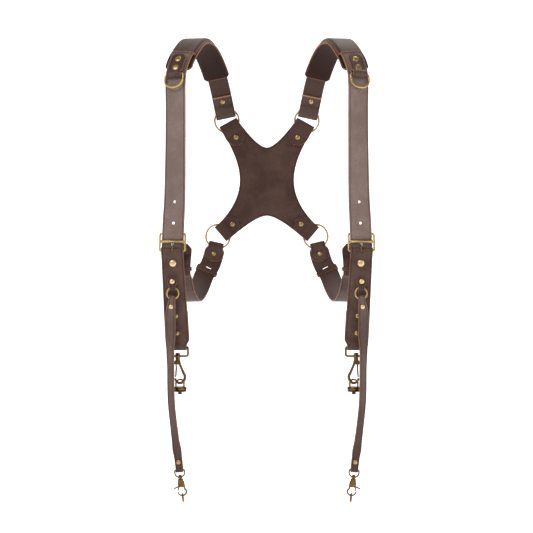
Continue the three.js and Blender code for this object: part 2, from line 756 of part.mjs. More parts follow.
function sideStrapSolid() {
  const reach = ringFall(ringRadius, sideNeck) + barRoom;
  const tip = sideBend + 30;
  const end = sideStrap.length;
  const body = strip(sideStrap, [
    ...roundEnd(tip, 1, tailLayer, strapWidth).reverse(),
    [sideBend + reach + 3.5, tailLayer, strapWidth - 2],
    [sideBend + reach, -2 * foldRadius, sideNeck + 2],
    ...fold(sideBend, -foldRadius, foldRadius, -1, -1, sideNeck),
    [sideBend + 4, 0, sideNeck],
    ...sideStrap.rowsBetween(sideBend + 9, end - 7, 0, strapWidth),
    [end, 0, strapWidth - 14],
  ], strapThick);
  const slotPlace = keeperPlaces.side - 7;
  const slot = strip(sideStrap, [[slotPlace - 1.5, 0, 10], [slotPlace + 1.5, 0, 10]], 2 * strapThick);
  const post = pin(drop.frame(dropRivetPlace, 0, 0, -1), 0, -16, postDiameter + 2 * gap);
  const head = rivet(sideStrap.frame(sideBend + 15.5), strapThick / 2, tailLayer - strapThick / 2,
    smallHead, postDiameter, -0.2);
  return join(cut(solid(body), solid(slot), post), head);
}

function keeper(key) {
  const grow = 2 * (gap + keeperThick);
  const from = keeperPlaces[key] - keeperHalf[key];
  const to = keeperPlaces[key] + keeperHalf[key];
  const outer = strip(sideStrap, sideStrap.rowsBetween(from, to, 0, strapWidth + grow), strapThick + grow);
  const inner = strip(sideStrap, sideStrap.rowsBetween(from - 2, to + 2, 0, strapWidth + 2 * gap),
    strapThick + 2 * gap);
  return cut(solid(outer), solid(inner));
}

function leashTab() {
  const bend = leashCentre - leashBend;
  const front = leashBack + tabThick + gap;
  const inner = bend - leashReach;
  const body = strip(drop, [
    [leashDrop - 3, leashBack, leashTabWidth - 3],
    [inner - 4, leashBack, leashTabWidth],
    [inner, leashBack, leashNeck],
    ...fold(bend, leashPlane, leashFold, 1, -1, leashNeck),
    [inner, leashPlane + leashFold, leashNeck],
    [inner - 4, front, leashTabWidth],
    ...roundEnd(leashDrop - 5, -1, front, leashTabWidth),
  ], tabThick, leashShift);
  const matrix = drop.frame(leashRivetPlace, 0, leashShift, -1);
  return join(solid(body), tack(matrix, front + tabThick / 2, dropLayer - strapThick / 2));
}

function tetherStrap() {
  const bend = leashBend;
  const layer = -(tabThick + gap);
  const inner = bend + leashReach;
  const eyeFold = eyeWire / 2 + gap + foldSlack + tabThick / 2;
  const low = tether.length;
  const body = strip(tether, [
    [inner + 14, layer, tetherWidth],
    [inner + 4, layer, tetherWidth],
    [inner, -2 * leashFold, leashNeck],
    ...fold(bend, -leashFold, leashFold, -1, -1, leashNeck),
    [inner, 0, leashNeck],
    [inner + 5, 0, tetherWidth],
    ...run(inner + 14, low - 30, 32, 0, tetherWidth),
    [low - 18, 0, tetherLowWidth + 1],
    [low - 6, 0, tetherLowWidth],
    ...fold(low, -eyeFold, eyeFold, 1, 1, tetherLowWidth),
    [low - 3, -2 * eyeFold, tetherLowWidth],
    [low - 7, layer, tetherLowWidth],
    [low - 17, layer, tetherLowWidth],
  ], tabThick);
  const heads = [inner + 9, low - 11.5].map((s) => {
    return rivet(tether.frame(s, 0, 0, -1), tabThick / 2, layer - tabThick / 2, smallHead * 0.9, 3, -0.2);
  });
  return join(solid(body), ...heads);
}

// Hardware below the drop strap. Each piece is modelled from the bar that it swings on, local Z up.
const bossDiameter = 8;
const bossHeight = 5.5;
const stemDiameter = 3.4;

function upright(x, z, diameter, height, sides = pinSides) {
  const geometry = new THREE.CylinderGeometry(diameter / 2, diameter / 2, height, sides);
  return solid(geometry.rotateX(Math.PI / 2).translate(x, 0, z));
}

function crossPin(x, z, diameter, length, sides = pinSides) {
  const geometry = new THREE.CylinderGeometry(diameter / 2, diameter / 2, length, sides);
  return solid(geometry.translate(x, 0, z));
}

function block(x0, x1, z0, z1, depth) {
  const geometry = new THREE.BoxGeometry(x1 - x0, depth, z1 - z0);
  return solid(geometry.translate((x0 + x1) / 2, 0, (z0 + z1) / 2));
}

const swivelLow = -(swivelHeight - swivelWire / 2);

function swivelFrame() {
  const loop = wire(frameLoop(swivelWidth - swivelWire, -swivelLow, 1.2), swivelWire);
  const boss = upright(0, swivelLow, bossDiameter, bossHeight);
  return cut(join(solid(loop), boss), upright(0, swivelLow, stemDiameter + 2 * gap, 2 * bossHeight));
}

// The hook's stem turns in the boss; a block below it carries the gate's pin.
const neckTop = swivelLow - bossHeight / 2 - gap;
const gatePivot = [-2.6, neckTop - 6.5];
const hookLow = neckTop - hookLength;
const gateLow = hookLow + 8.6;

function snapHook() {
  const right = 0.62 * hookWidth;
  const bend = new THREE.CatmullRomCurve3([
    [2.7, neckTop - 7], [4.2, neckTop - 11], [right - 1.7, neckTop - 17], [right, neckTop - 24],
    [right - 1.2, hookLow + 5], [6.2, hookLow + 0.8], [2.6, hookLow], [-0.9, hookLow + 1.6],
    [-3, hookLow + 4.6], [-3.2, hookLow + 7],
  ].map(([x, z]) => new THREE.Vector3(x, 0, z)));
  const points = bend.getPoints(9).map(({ x, z }) => [x, z]);
  const stem = upright(0, swivelLow - 1, stemDiameter, bossHeight + 6);
  const stemHead = upright(0, swivelLow + bossHeight / 2 + gap + 0.9, 6.6, 1.8);
  const collar = upright(0, neckTop - 1.4, 7, 2.8);
  const cheeks = block(-5.6, 3.6, neckTop - 10, neckTop - 2.4, 6.4);
  const slot = block(-7, 0.4, neckTop - 12, neckTop - 3.6, 2.8);
  const gatePin = crossPin(gatePivot[0], gatePivot[1], 1.8, 6.4);
  return join(cut(cheeks, slot), solid(wire(points, hookWire, false)), stem, stemHead, collar, gatePin);
}

function sprungArm(reach, thick, diameter, tip) {
  const disc = crossPin(0, 0, reach, thick);
  const arm = solid(wire([[0, -reach * 0.3], tip], diameter, false));
  return cut(join(disc, arm), crossPin(0, 0, 2.4, 2 * thick));
}

function cameraScrew() {
  const centre = 3.2;
  const handleTop = hookLow + hookWire / 2 + 1.25 + 6 * gap;
  const discTop = hookLow - 5.3;
  const bail = wire([
    [-7.2, discTop - 1], ...arc(0, handleTop - 4.25, 7.2, 4.25, 180, 0, 5), [7.2, discTop - 1],
  ], 2.5, false);
  const disc = upright(0, discTop - discThick / 2, discDiameter, discThick, 12);
  const screw = upright(0, discTop - discThick - screwLength / 2, screwDiameter, screwLength + 1);
  const turned = new THREE.Matrix4().makeRotationZ(THREE.MathUtils.degToRad(40)).setPosition(centre, 0, 0);
  const whole = geometryOf(join(solid(bail), disc, screw)).applyMatrix4(turned);
  const seat = discTop - discThick - gap;
  const ring = cut(upright(0, seat - washerThick / 2, discDiameter, washerThick, 12),
    upright(0, seat - washerThick / 2, screwDiameter + 2 * gap, 2 * washerThick));
  return { whole, washer: geometryOf(ring).applyMatrix4(turned) };
}

// Lobster clasp: its eye swings on the tether's fold, its stem turns in the eye's collar.
const eyeLow = -(eyeHeight - eyeWire);
const claspTop = eyeLow - 2;
const triggerPivot = [0, claspTop - 7.6];

function claspEye() {
  const loop = wire(dLoop(eyeWidth - eyeWire, -eyeLow, 1.6), eyeWire);
  return cut(join(solid(loop), upright(0, eyeLow, 6.4, 3.4)), upright(0, eyeLow, 2.8, 8));
}

function claspBody() {
  const wide = claspLoopWidth / 2 - claspWire / 2;
  const high = wide * 0.87;
  const centre = triggerPivot[1] - 11.6;
  const barrel = upright(0, claspTop - 2.2, 8, 3.8);
  const cheeks = block(-4.5, 4.5, claspTop - 12.4, claspTop - 3.6, 6);
  const slot = block(-6, 3.2, claspTop - 14, claspTop - 4.6, 2.7);
  const hook = wire([
    [3.9, triggerPivot[1] - 1], [4.4, triggerPivot[1] - 5],
    ...arc(1, centre, wide, high, 50, -188, 7),
  ], claspWire, false);
  const stem = upright(0, eyeLow + 0.2, 2.2, 6);
  const stemHead = upright(0, eyeLow + 2.8, 4.6, 1.8);
  const pivot = crossPin(triggerPivot[0], triggerPivot[1], 1.8, 7.6);
  return join(barrel, cut(cheeks, slot), solid(hook), stem, stemHead, pivot);
}

function claspTrigger() {
  const disc = crossPin(0, 0, 5.4, 2.1);
  const lever = solid(wire([[-1.4, -1], [-5, -4], [-11.1, -6]], 2.1, false));
  const gate = solid(wire([[-1, -1.6], [-3.9, -6], [-5, -9.6]], 2.1, false));
  return cut(join(disc, lever, gate), crossPin(0, 0, 2.4, 6));
}

const placed = (matrix, x, z) => {
  return matrix.clone().multiply(new THREE.Matrix4().makeTranslation(x, 0, z));
};

function buildSide(prefix) {
  const side = new THREE.Group();
  const put = (name, made, material, matrix) => {
    const geometry = made.isBufferGeometry ? made : geometryOf(made);
    return piece(side, `${prefix}_${name}`, geometry, material, matrix);
  };
  const at = (x, y, z) => new THREE.Matrix4().makeTranslation(x, y, z);
  const ringY = halfDepth - foldRadius;

  put('shoulder_strap', shoulderStrap(), leatherFront);
  put('shoulder_pad', shoulderPad(), leatherPad);
  put('ring_tab', ringTab(), leatherFront);
  put('d_ring', wire(dLoop(dWidth - ringWire, dHeight - ringWire, 2.2), ringWire), brass,
    shoulder.frame(dBarPlace, dPlane));
  put('upper_ring', ringGeometry(ringRadius, ringWire), brass, at(-ringHalf, ringY, -upperRingDrop));
  put('lower_ring', ringGeometry(ringRadius, ringWire), brass, at(-lowerRingHalf, ringY, -lowerRingDrop));
  put('back_stud', rivet(shoulder.frame(backStudPlace), strapThick / 2, tailLayer - strapThick / 2,
    studHead, postDiameter, gap), brass);
  arms.filter((arm) => arm.side < 0).forEach((arm) => put(arm.name, yokeStud(arm), brass));

  put('side_strap', sideStrapSolid(), leatherDark);
  put('side_keeper', keeper('side'), leatherDark);
  put('front_keeper', keeper('front'), leatherDark);

  put('buckle_frame', buckleSolid(), brass, buckleFrame);
  put('buckle_roller', rollerGeometry(), brass, buckleFrame);
  const prongMatrix = new THREE.Matrix4().makeBasis(
    new THREE.Vector3(0, 1, 0), new THREE.Vector3(-1, 0, 0), new THREE.Vector3(0, 0, 1));
  put('buckle_prong', prongGeometry(), brass, prongMatrix.setPosition(bottomBar));

  put('drop_strap', dropStrap(), leatherFront);
  const sideBack = -(keeperY + strapThick / 2 + gap - bottomBar.y);
  put('drop_rivet', rivet(drop.frame(dropRivetPlace, 0, 0, -1), dropFace, sideBack,
    rivetHead, postDiameter, gap, smallHead), brass);
  put('leash_tab', leashTab(), leatherFront);
  put('leash_ring', ringGeometry(leashRadius, leashWire, 10), brass,
    at(leashMiddle.x, leashMiddle.y, leashMiddle.z));
  put('tether_strap', tetherStrap(), leatherFront);

  const hang = new THREE.Matrix4().setPosition(drop.at(drop.length).point);
  put('swivel_frame', swivelFrame(), oldBrass, hang);
  put('snap_hook', snapHook(), oldBrass, hang);
  const gateTip = [-0.6, gateLow - gatePivot[1]];
  put('hook_gate', sprungArm(4.4, 2.2, 2.4, gateTip), oldBrass, placed(hang, ...gatePivot));
  const { whole, washer } = cameraScrew();
  put('camera_screw', whole, oldBrass, hang);
  put('screw_washer', washer, rubber, hang);

  const eyeFold = eyeWire / 2 + gap + foldSlack + tabThick / 2;
  const clasp = tether.frame(tether.length, -eyeFold, 0, -1);
  put('clasp_eye', claspEye(), oldBrass, clasp);
  put('clasp_body', claspBody(), oldBrass, clasp);
  put('clasp_trigger', claspTrigger(), oldBrass, placed(clasp, ...triggerPivot));
  const loopLow = triggerPivot[1] - 11.6 - (claspLoopWidth / 2 - claspWire / 2) * 0.87;
  const ringTop = loopLow + claspWire / 2 + gap + 1.1;
  put('clasp_ring', new THREE.TorusGeometry(claspRingRadius, 1.1, 5, 10).rotateY(Math.PI / 2), oldBrass,
    placed(clasp, 1, 0).multiply(at(0, 0, ringTop - claspRingRadius)));
  return side;
}

const harness = new THREE.Group();
piece(harness, 'back_yoke', geometryOf(backYoke()), leatherDark);
harness.add(buildSide('left'));
const right = buildSide('right');
right.scale.x = -1;
harness.add(right);

export default harness;
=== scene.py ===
import math

import bpy
import numpy as np
from mathutils import Matrix, Vector


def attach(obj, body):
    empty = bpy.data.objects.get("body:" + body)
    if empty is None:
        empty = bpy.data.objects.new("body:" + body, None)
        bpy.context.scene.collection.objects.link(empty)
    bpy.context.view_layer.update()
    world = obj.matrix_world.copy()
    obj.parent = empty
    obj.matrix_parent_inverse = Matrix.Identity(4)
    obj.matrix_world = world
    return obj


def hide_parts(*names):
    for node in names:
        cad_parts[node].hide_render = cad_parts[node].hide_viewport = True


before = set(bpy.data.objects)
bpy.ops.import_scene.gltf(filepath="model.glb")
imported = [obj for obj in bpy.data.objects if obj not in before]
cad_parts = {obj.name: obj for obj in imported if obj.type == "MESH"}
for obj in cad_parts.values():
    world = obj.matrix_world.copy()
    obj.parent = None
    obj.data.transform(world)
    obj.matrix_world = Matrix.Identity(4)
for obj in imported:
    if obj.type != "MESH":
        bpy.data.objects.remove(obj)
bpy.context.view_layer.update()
MM = 0.001

# The view: level with the hanging drop straps, from the chest side, through a long lens.
# The harness hangs in front of a plain white sweep that is floor and wall in one, under soft light.
eye = bpy.data.objects.new("eye", bpy.data.cameras.new("eye"))
eye.location = (-0.0006, -1.935, -0.340)
eye.rotation_euler = (math.radians(90), 0, 0)
eye.data.lens = 85
eye.data.sensor_width = 36
eye.data.clip_end = 30
bpy.context.scene.collection.objects.link(eye)
bpy.context.scene.camera = eye
bpy.context.scene.view_settings.view_transform = "Standard"

sweep_floor = -0.86
sweep_back = 3.4
sweep_bend = 0.6
sweep_half = 5.0
sweep_front = -4.0
sweep_top = 3.2
bend_steps = 12
side_view = [(sweep_front, sweep_floor), (sweep_back - sweep_bend, sweep_floor)]
for turn in range(1, bend_steps + 1):
    angle = math.radians(90 * turn / bend_steps)
    side_view.append((sweep_back - sweep_bend * (1 - math.sin(angle)),
                      sweep_floor + sweep_bend * (1 - math.cos(angle))))
side_view.append((sweep_back, sweep_top))
sweep_mesh = bpy.data.meshes.new("sweep")
sweep_mesh.from_pydata(
    [(x, y, z) for y, z in side_view for x in (-sweep_half, sweep_half)], [],
    [(2 * i, 2 * i + 1, 2 * i + 3, 2 * i + 2) for i in range(len(side_view) - 1)])
sweep_mesh.polygons.foreach_set("use_smooth", [True] * len(sweep_mesh.polygons))
sweep = bpy.data.objects.new("sweep", sweep_mesh)
bpy.context.scene.collection.objects.link(sweep)
paper = bpy.data.materials.new("paper")
paper.use_nodes = True
paper_shader = paper.node_tree.nodes["Principled BSDF"]
paper_shader.inputs["Base Color"].default_value = (0.86, 0.86, 0.86, 1)
paper_shader.inputs["Roughness"].default_value = 0.9
paper_shader.inputs["Emission Color"].default_value = (1, 1, 1, 1)
paper_shader.inputs["Emission Strength"].default_value = 0.8
sweep_mesh.materials.append(paper)

room = bpy.data.worlds.new("room")
room.use_nodes = True
room_tree = room.node_tree
direction = room_tree.nodes.new("ShaderNodeTexCoord")
split = room_tree.nodes.new("ShaderNodeSeparateXYZ")
depth = room_tree.nodes.new("ShaderNodeMapRange")
depth.inputs["From Min"].default_value = -1
walls = room_tree.nodes.new("ShaderNodeValToRGB")
walls.color_ramp.elements[0].color = (0.30, 0.30, 0.30, 1)
walls.color_ramp.elements[1].position = 0.62
walls.color_ramp.elements[1].color = (0.85, 0.85, 0.85, 1)
room_tree.links.new(direction.outputs["Generated"], split.inputs[0])
room_tree.links.new(split.outputs["Y"], depth.inputs["Value"])
room_tree.links.new(depth.outputs[0], walls.inputs["Fac"])
room_tree.links.new(walls.outputs["Color"], room_tree.nodes["Background"].inputs["Color"])
room_tree.nodes["Background"].inputs["Strength"].default_value = 0.5
bpy.context.scene.world = room
harness_middle = Vector((0, 0, -0.3))
for name, place, size, power in [
    ("window", (-1.3, -2.2, 1.5), 1.3, 48),
    ("fill", (1.9, -2.1, 0.2), 1.2, 18),
    ("hair", (0.3, 1.0, 1.6), 1.0, 14),
]:
    lamp = bpy.data.lights.new(name, "AREA")
    lamp.size = size
    lamp.energy = power
    lit = bpy.data.objects.new(name, lamp)
    lit.location = place
    lit.rotation_euler = (harness_middle - Vector(place)).to_track_quat("-Z", "Y").to_euler()
    bpy.context.scene.collection.objects.link(lit)


# Shoulder straps: 32 mm bridle leather, 3 mm thick, waxed, with a creased line and small tonal
# stitches along both edges. Each runs from its loose end behind the buckle, up the chest, over
# the shoulder and down to the upper ring, where it is folded back and held by a rivet.
gap = 0.3
fold_slack = 0.5
strap_width = 32
strap_thick = 3
body_depth = 210
chest_half = 133
ring_half = 64.7
arch_rise = 96
roller_drop = 304
pad_thick = 4
ring_wire = 3
ring_radius = 19.5
upper_ring_drop = 104
bottom_bar_drop = 14.5
top_bar_rise = 11.5
buckle_weave = 4
half_depth = body_depth / 2
bar_room = ring_wire / 2 + gap + fold_slack
fold_radius = bar_room + strap_thick / 2
tail_layer = -(strap_thick + gap)


class Course:
    """The line that a strap follows. Columns of a row: x, y, z, facing and turn, both in degrees."""

    def __init__(self, rows, across=None):
        self.rows = np.array(rows, float)
        self.across = across
        points = self.rows[:, :3]
        first = 2 * points[0] - points[1]
        last = 2 * points[-1] - points[-2]
        self.points = np.vstack([first, points, last])
        self.spans = np.maximum(np.linalg.norm(np.diff(self.points, axis=0), axis=1) ** 0.5, 1e-6)
        self.grid = np.linspace(0, 1, 2401)
        line = self.point(self.grid)
        self.reach = np.concatenate([[0], np.cumsum(np.linalg.norm(np.diff(line, axis=0), axis=1))])
        self.length = self.reach[-1]

    def point(self, t):
        last = len(self.rows) - 2
        place = np.clip(t, 0, 1) * (last + 1)
        i = np.minimum(place.astype(int), last)
        w = (place - i)[:, None]
        p0, p1, p2, p3 = (self.points[i + k] for k in range(4))
        d0, d1, d2 = (self.spans[i + k][:, None] for k in range(3))
        leave = ((p1 - p0) / d0 - (p2 - p0) / (d0 + d1) + (p2 - p1) / d1) * d1
        arrive = ((p2 - p1) / d1 - (p3 - p1) / (d1 + d2) + (p3 - p2) / d2) * d1
        return (p1 + leave * w + (-3 * p1 + 3 * p2 - 2 * leave - arrive) * w ** 2
                + (2 * p1 - 2 * p2 + leave + arrive) * w ** 3)

    def at(self, s):
        """Point, direction, across and outward vectors at distances s along the line."""
        s = np.atleast_1d(np.asarray(s, float))
        inside = np.clip(s, 0, self.length)
        t = np.interp(inside, self.reach, self.grid)
        step = 2e-4
        along = self.point(np.minimum(t + step, 1)) - self.point(np.maximum(t - step, 0))
        along /= np.linalg.norm(along, axis=1)[:, None]
        point = self.point(t) + along * (s - inside)[:, None]
        place = t * (len(self.rows) - 1)
        index = np.arange(len(self.rows))
        facing = np.radians(np.interp(place, index, self.rows[:, 3]))
        turn = np.radians(np.interp(place, index, self.rows[:, 4]))
        face = np.stack([-np.sin(turn), -np.cos(facing) * np.cos(turn), np.sin(facing) * np.cos(turn)], 1)
        if self.across is None:
            across = np.cross(along, face)
            across /= np.linalg.norm(across, axis=1)[:, None]
        else:
            across = np.tile(np.array(self.across, float), (len(s), 1))
        out = np.cross(across, along)
        out /= np.linalg.norm(out, axis=1)[:, None]
        out *= np.sign(np.sum(out * face, 1))[:, None]
        return point, along, across, out

    def height_at(self, z, start=0.0):
        s = np.arange(start, self.length, 0.25)
        heights = self.at(s)[0][:, 2] - z
        return s[np.nonzero(np.sign(heights) != np.sign(heights[0]))[0][0]]

    def frame(self, s, v=0.0, side=0.0, up=1):
        """Placing matrix: local X across, local -Y outward, local Z along the line or against it."""
        point, along, across, out = (row[0] for row in self.at(s))
        z = along * up
        x = np.cross(-out, z)
        matrix = np.eye(4)
        matrix[:3, 0], matrix[:3, 1], matrix[:3, 2] = x / np.linalg.norm(x), -out, z
        matrix[:3, 3] = point + out * v + across * side
        return matrix


class Shape:
    """Points in millimetres, faces, and marks: numbers on each point that the finishes read."""

    def __init__(self, points, faces, marks=None):
        self.points = np.array(points, float)
        self.faces = [tuple(int(k) for k in face) for face in faces]
        self.marks = marks or {}

    def __add__(self, other):
        shift = len(self.points)
        marks = {}
        for key in set(self.marks) | set(other.marks):
            parts = [one.marks.get(key, np.zeros(len(one.points))) for one in (self, other)]
            marks[key] = np.concatenate(parts)
        faces = self.faces + [tuple(k + shift for k in face) for face in other.faces]
        return Shape(np.vstack([self.points, other.points]), faces, marks)

    def moved(self, matrix):
        matrix = np.array(matrix, float)
        return Shape(self.points @ matrix[:3, :3].T + matrix[:3, 3], self.faces, self.marks)

    def mirrored(self):
        return Shape(self.points * [-1, 1, 1], [face[::-1] for face in self.faces], self.marks)


def skin(sections, closed=False):
    """Faces through sections of equal point count, closed on itself or capped at both ends."""
    sections = np.asarray(sections)
    rows, count = sections.shape[:2]
    faces = []
    for i in range(rows if closed else rows - 1):
        near, far = i * count, ((i + 1) % rows) * count
        faces += [(near + j, near + (j + 1) % count, far + (j + 1) % count, far + j) for j in range(count)]
    if not closed:
        faces += [tuple(range(count))[::-1], tuple(range((rows - 1) * count, rows * count))]
    points = sections.reshape(-1, 3)
    origin = points.mean(0)
    volume = 0.0
    for face in faces:
        a = points[face[0]] - origin
        for j in range(1, len(face) - 1):
            volume += a @ np.cross(points[face[j]] - origin, points[face[j + 1]] - origin)
    if volume < 0:
        faces = [face[::-1] for face in faces]
    return points, faces


def resample(rows, step=1.3):
    """Evenly spaced rows along a leather strip's own length, with its kinks softened."""
    rows = np.array(rows, float)
    way = np.concatenate([[0], np.cumsum(np.linalg.norm(np.diff(rows[:, :2], axis=0), axis=1))])
    at = np.linspace(0, way[-1], max(4, int(way[-1] / step)) + 1)
    even = np.stack([np.interp(at, way, rows[:, k]) for k in range(3)], 1)
    even[1:-1] = (even[:-2] + 2 * even[1:-1] + even[2:]) / 4
    return at, even


# One half of a strap's section: distance in from the edge in mm, height as a share of half the
# thickness, and how much of the cut edge shows. The dip at 2.4 mm is the pressed crease.
crease_inset = 2.4
crease_rows = [
    (5.2, 1.0, 0), (3.2, 1.0, 0), (2.4, 0.8, 0), (1.7, 0.99, 0), (0.9, 0.97, 0.1), (0.35, 0.78, 0.75),
    (0.0, 0.3, 1), (0.0, -0.3, 1), (0.35, -0.78, 0.75), (0.9, -0.97, 0), (1.7, -1.0, 0), (5.2, -1.0, 0),
]


def ribbon(course, rows, thick, side=0.0, section=crease_rows, step=1.3, raw_end=1):
    """A strip of leather on a course. Columns of a row: s along the course, v outward, width."""
    way, even = resample(rows, step)
    flow = np.gradient(even[:, :2], axis=0)
    flow /= np.linalg.norm(flow, axis=1)[:, None]
    point, along, across, out = course.at(even[:, 0])
    middle = point + out * even[:, 1:2] + across * side
    normal = out * flow[:, :1] - along * flow[:, 1:2]
    half = even[:, 2] / 2
    scale = np.clip(half / 6.0, 0.08, 1.0)
    outline = [(-1, *row) for row in section] + [(1, *row) for row in section[::-1]]
    layers, marks = [], {"edge": [], "rim": [], "inner": [], "way": []}
    for sign, inset, height, rim in outline:
        aside = (sign * (half - inset * scale))[:, None]
        layers.append(middle + across * aside + normal * (thick / 2 * height))
        marks["edge"].append(np.full(len(half), inset))
        marks["rim"].append(np.full(len(half), rim))
        marks["inner"].append(np.full(len(half), 1.0 if height < 0 else 0.0))
        marks["way"].append(way)
    sections = np.stack(layers, 1)
    points, faces = skin(sections)
    flat = {key: np.stack(values, 1).reshape(-1) for key, values in marks.items()}
    flat["rim"][: sections.shape[1]] = 1
    flat["rim"][-raw_end * sections.shape[1]:] = 1
    return Shape(points, faces, flat)


def fold(s, v, radius, ahead, start, width, steps=14):
    """The half turn of a fold round a bar at (s, v), bulging toward +s or -s."""
    angles = np.radians(np.linspace(0, 180, steps + 1))
    return [[s + ahead * radius * math.sin(a), v + start * radius * math.cos(a), width] for a in angles]


def ease(s0, v0, w0, s1, v1, w1, steps=6):
    """Rows that lead a layer gently from one height and width to another."""
    shares = [(1 - math.cos(math.pi * k / steps)) / 2 for k in range(steps + 1)]
    return [[s0 + (s1 - s0) * k / steps, v0 + (v1 - v0) * share, w0 + (w1 - w0) * share]
            for k, share in enumerate(shares)]


def ring_fall(radius, width, wire):
    """How far in from a ring's inside edge a strap of this width comes to rest."""
    inner = (radius - wire / 2) * math.cos(math.pi / 12)
    return radius - wire / 2 - math.sqrt(inner ** 2 - width ** 2 / 4)


def ring_bend(width):
    """From a back ring's centre to the fold that hangs on it."""
    return ring_radius - ring_fall(ring_radius, width, ring_wire)


class Mask:
    """A node's output that adds, subtracts and scales like a number."""

    def __init__(self, finish, socket):
        self.finish, self.socket = finish, socket

    def maths(self, operation, *others):
        return self.finish.node("Math", {"operation": operation}, dict(enumerate((self, *others))))

    def __add__(self, other):
        return self.maths("ADD", other)

    def __sub__(self, other):
        return self.maths("SUBTRACT", other)

    def __rsub__(self, other):
        return self.finish.node("Math", {"operation": "SUBTRACT"}, {0: other, 1: self})

    def __mul__(self, other):
        return self.maths("MULTIPLY", other)

    __radd__ = __add__
    __rmul__ = __mul__

    def between(self, low, high):
        """0 at low, 1 at high, clamped and eased."""
        settings = {"interpolation_type": "SMOOTHSTEP"}
        return self.finish.node("MapRange", settings, {"Value": self, "From Min": low, "From Max": high})


class Finish:
    """A material built from nodes."""

    def __init__(self, name):
        self.material = bpy.data.materials.new(name)
        self.material.use_nodes = True
        self.tree = self.material.node_tree
        self.shader = self.tree.nodes["Principled BSDF"]

    def node(self, kind, settings, sockets, out=0):
        fresh = self.tree.nodes.new("ShaderNode" + kind)
        for key, value in settings.items():
            setattr(fresh, key, value)
        for key, value in sockets.items():
            self.feed(fresh.inputs[key], value)
        return Mask(self, fresh.outputs[out])

    def feed(self, socket, value):
        if isinstance(value, Mask):
            self.tree.links.new(value.socket, socket)
        elif isinstance(value, tuple) and socket.type == "RGBA":
            socket.default_value = (*value, 1)
        else:
            socket.default_value = value

    def mark(self, name):
        return self.node("Attribute", {"attribute_name": name}, {}, "Fac")

    def place(self):
        return self.node("TexCoord", {}, {}, "Object")

    def noise(self, scale, detail, rough):
        sockets = {"Vector": self.place(), "Scale": scale, "Detail": detail, "Roughness": rough}
        return self.node("TexNoise", {}, sockets)

    def cells(self, scale):
        return self.node("TexVoronoi", {}, {"Vector": self.place(), "Scale": scale})

    def blend(self, factor, first, second):
        return self.node("Mix", {"data_type": "RGBA"}, {0: factor, 6: first, 7: second}, 2)

    def bump(self, height, strength, distance):
        return self.node("Bump", {}, {"Height": height, "Strength": strength, "Distance": distance})

    def done(self, **sockets):
        for key, value in sockets.items():
            self.feed(self.shader.inputs[key.replace("_", " ")], value)
        return self.material


def tanned(name, deep, worn, flesh, cut_edge, rough=0.5, relief=0.42, darker_from=None):
    """Waxed bridle leather: fine pores, faint pull-up clouds, a darker crease and tan cut edges."""
    painted_shade_tone = (0.050, 0.026, 0.019)
    painted_shade_blend = 120
    finish = Finish(name)
    clouds = finish.noise(26, 5, 0.62)
    fibres = finish.noise(420, 6, 0.7)
    pores = finish.cells(1500)
    scuffs = finish.noise(90, 8, 0.75).between(0.56, 0.78)
    rim = finish.mark("rim").between(0.1, 0.75)
    inner = finish.mark("inner").between(0.4, 0.6)
    crease = 1 - (finish.mark("edge") - crease_inset).maths("ABSOLUTE").between(0.25, 0.9)
    grain = finish.blend(clouds.between(0.32, 0.68), deep, worn)
    grain = finish.blend(scuffs * 0.35, grain, tuple(min(1, c * 1.5) for c in worn))
    grain = finish.blend(fibres.between(0.4, 0.62) * 0.3, grain, tuple(c * 0.72 for c in deep))
    grain = finish.blend(crease * 0.75 * (1 - rim), grain, tuple(c * 0.4 for c in deep))
    grain = finish.blend(inner * 0.75, grain, flesh)
    # From darker_from mm along the strip, the grain is blended toward a dark brown: painted shade on the
    # farther lengths, which catch less light.
    if darker_from:
        painted_shade = finish.mark("way").between(darker_from, darker_from + painted_shade_blend)
        grain = finish.blend(painted_shade * 0.75, grain, painted_shade_tone)
    edge_tone = finish.blend(fibres.between(0.35, 0.65), tuple(c * 0.62 for c in cut_edge), cut_edge)
    colour = finish.blend(rim, grain, edge_tone)
    height = fibres * 0.35 + pores.between(0.0, 0.5) * 0.4 + clouds * 0.3
    return finish.done(
        Base_Color=colour, Roughness=(clouds - 0.5) * 0.25 + (scuffs * 0.12) + rough,
        Normal=finish.bump(height, relief, 0.0004), Specular_IOR_Level=0.14)


# From 380 mm along, over the shoulder and down the back, the strap's grain darkens: painted shade.
front_leather = tanned(
    "front_leather", (0.164, 0.114, 0.098), (0.218, 0.160, 0.138), (0.062, 0.034, 0.026), (0.42, 0.19, 0.11),
    darker_from=380)


def made(name, shape, material, body="harness", nodes=(), sharp=60):
    """One piece of the harness, riding on its body and standing for its nodes."""
    mesh = bpy.data.meshes.new(name)
    mesh.from_pydata((shape.points * MM).tolist(), [], shape.faces)
    for key, values in shape.marks.items():
        mesh.attributes.new(key, "FLOAT", "POINT").data.foreach_set("value", np.array(values, np.float32))
    mesh.polygons.foreach_set("use_smooth", [True] * len(mesh.polygons))
    mesh.set_sharp_from_angle(angle=math.radians(sharp))
    mesh.materials.append(material)
    piece = bpy.data.objects.new(name, mesh)
    bpy.context.scene.collection.objects.link(piece)
    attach(piece, body)
    if nodes:
        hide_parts(*nodes)
    return piece


def both(name, shape, material, body="harness", nodes=(), sharp=60):
    """The left piece as built and its mirror image on the right."""
    pair = []
    for prefix, one in (("left", shape), ("right", shape.mirrored())):
        rides = body if body == "harness" else f"{prefix}_{body}_body"
        named = [f"{prefix}_{node}" for node in nodes]
        pair.append(made(f"{prefix}_{name}", one, material, rides, named, sharp))
    return pair


far_from_edge = 9


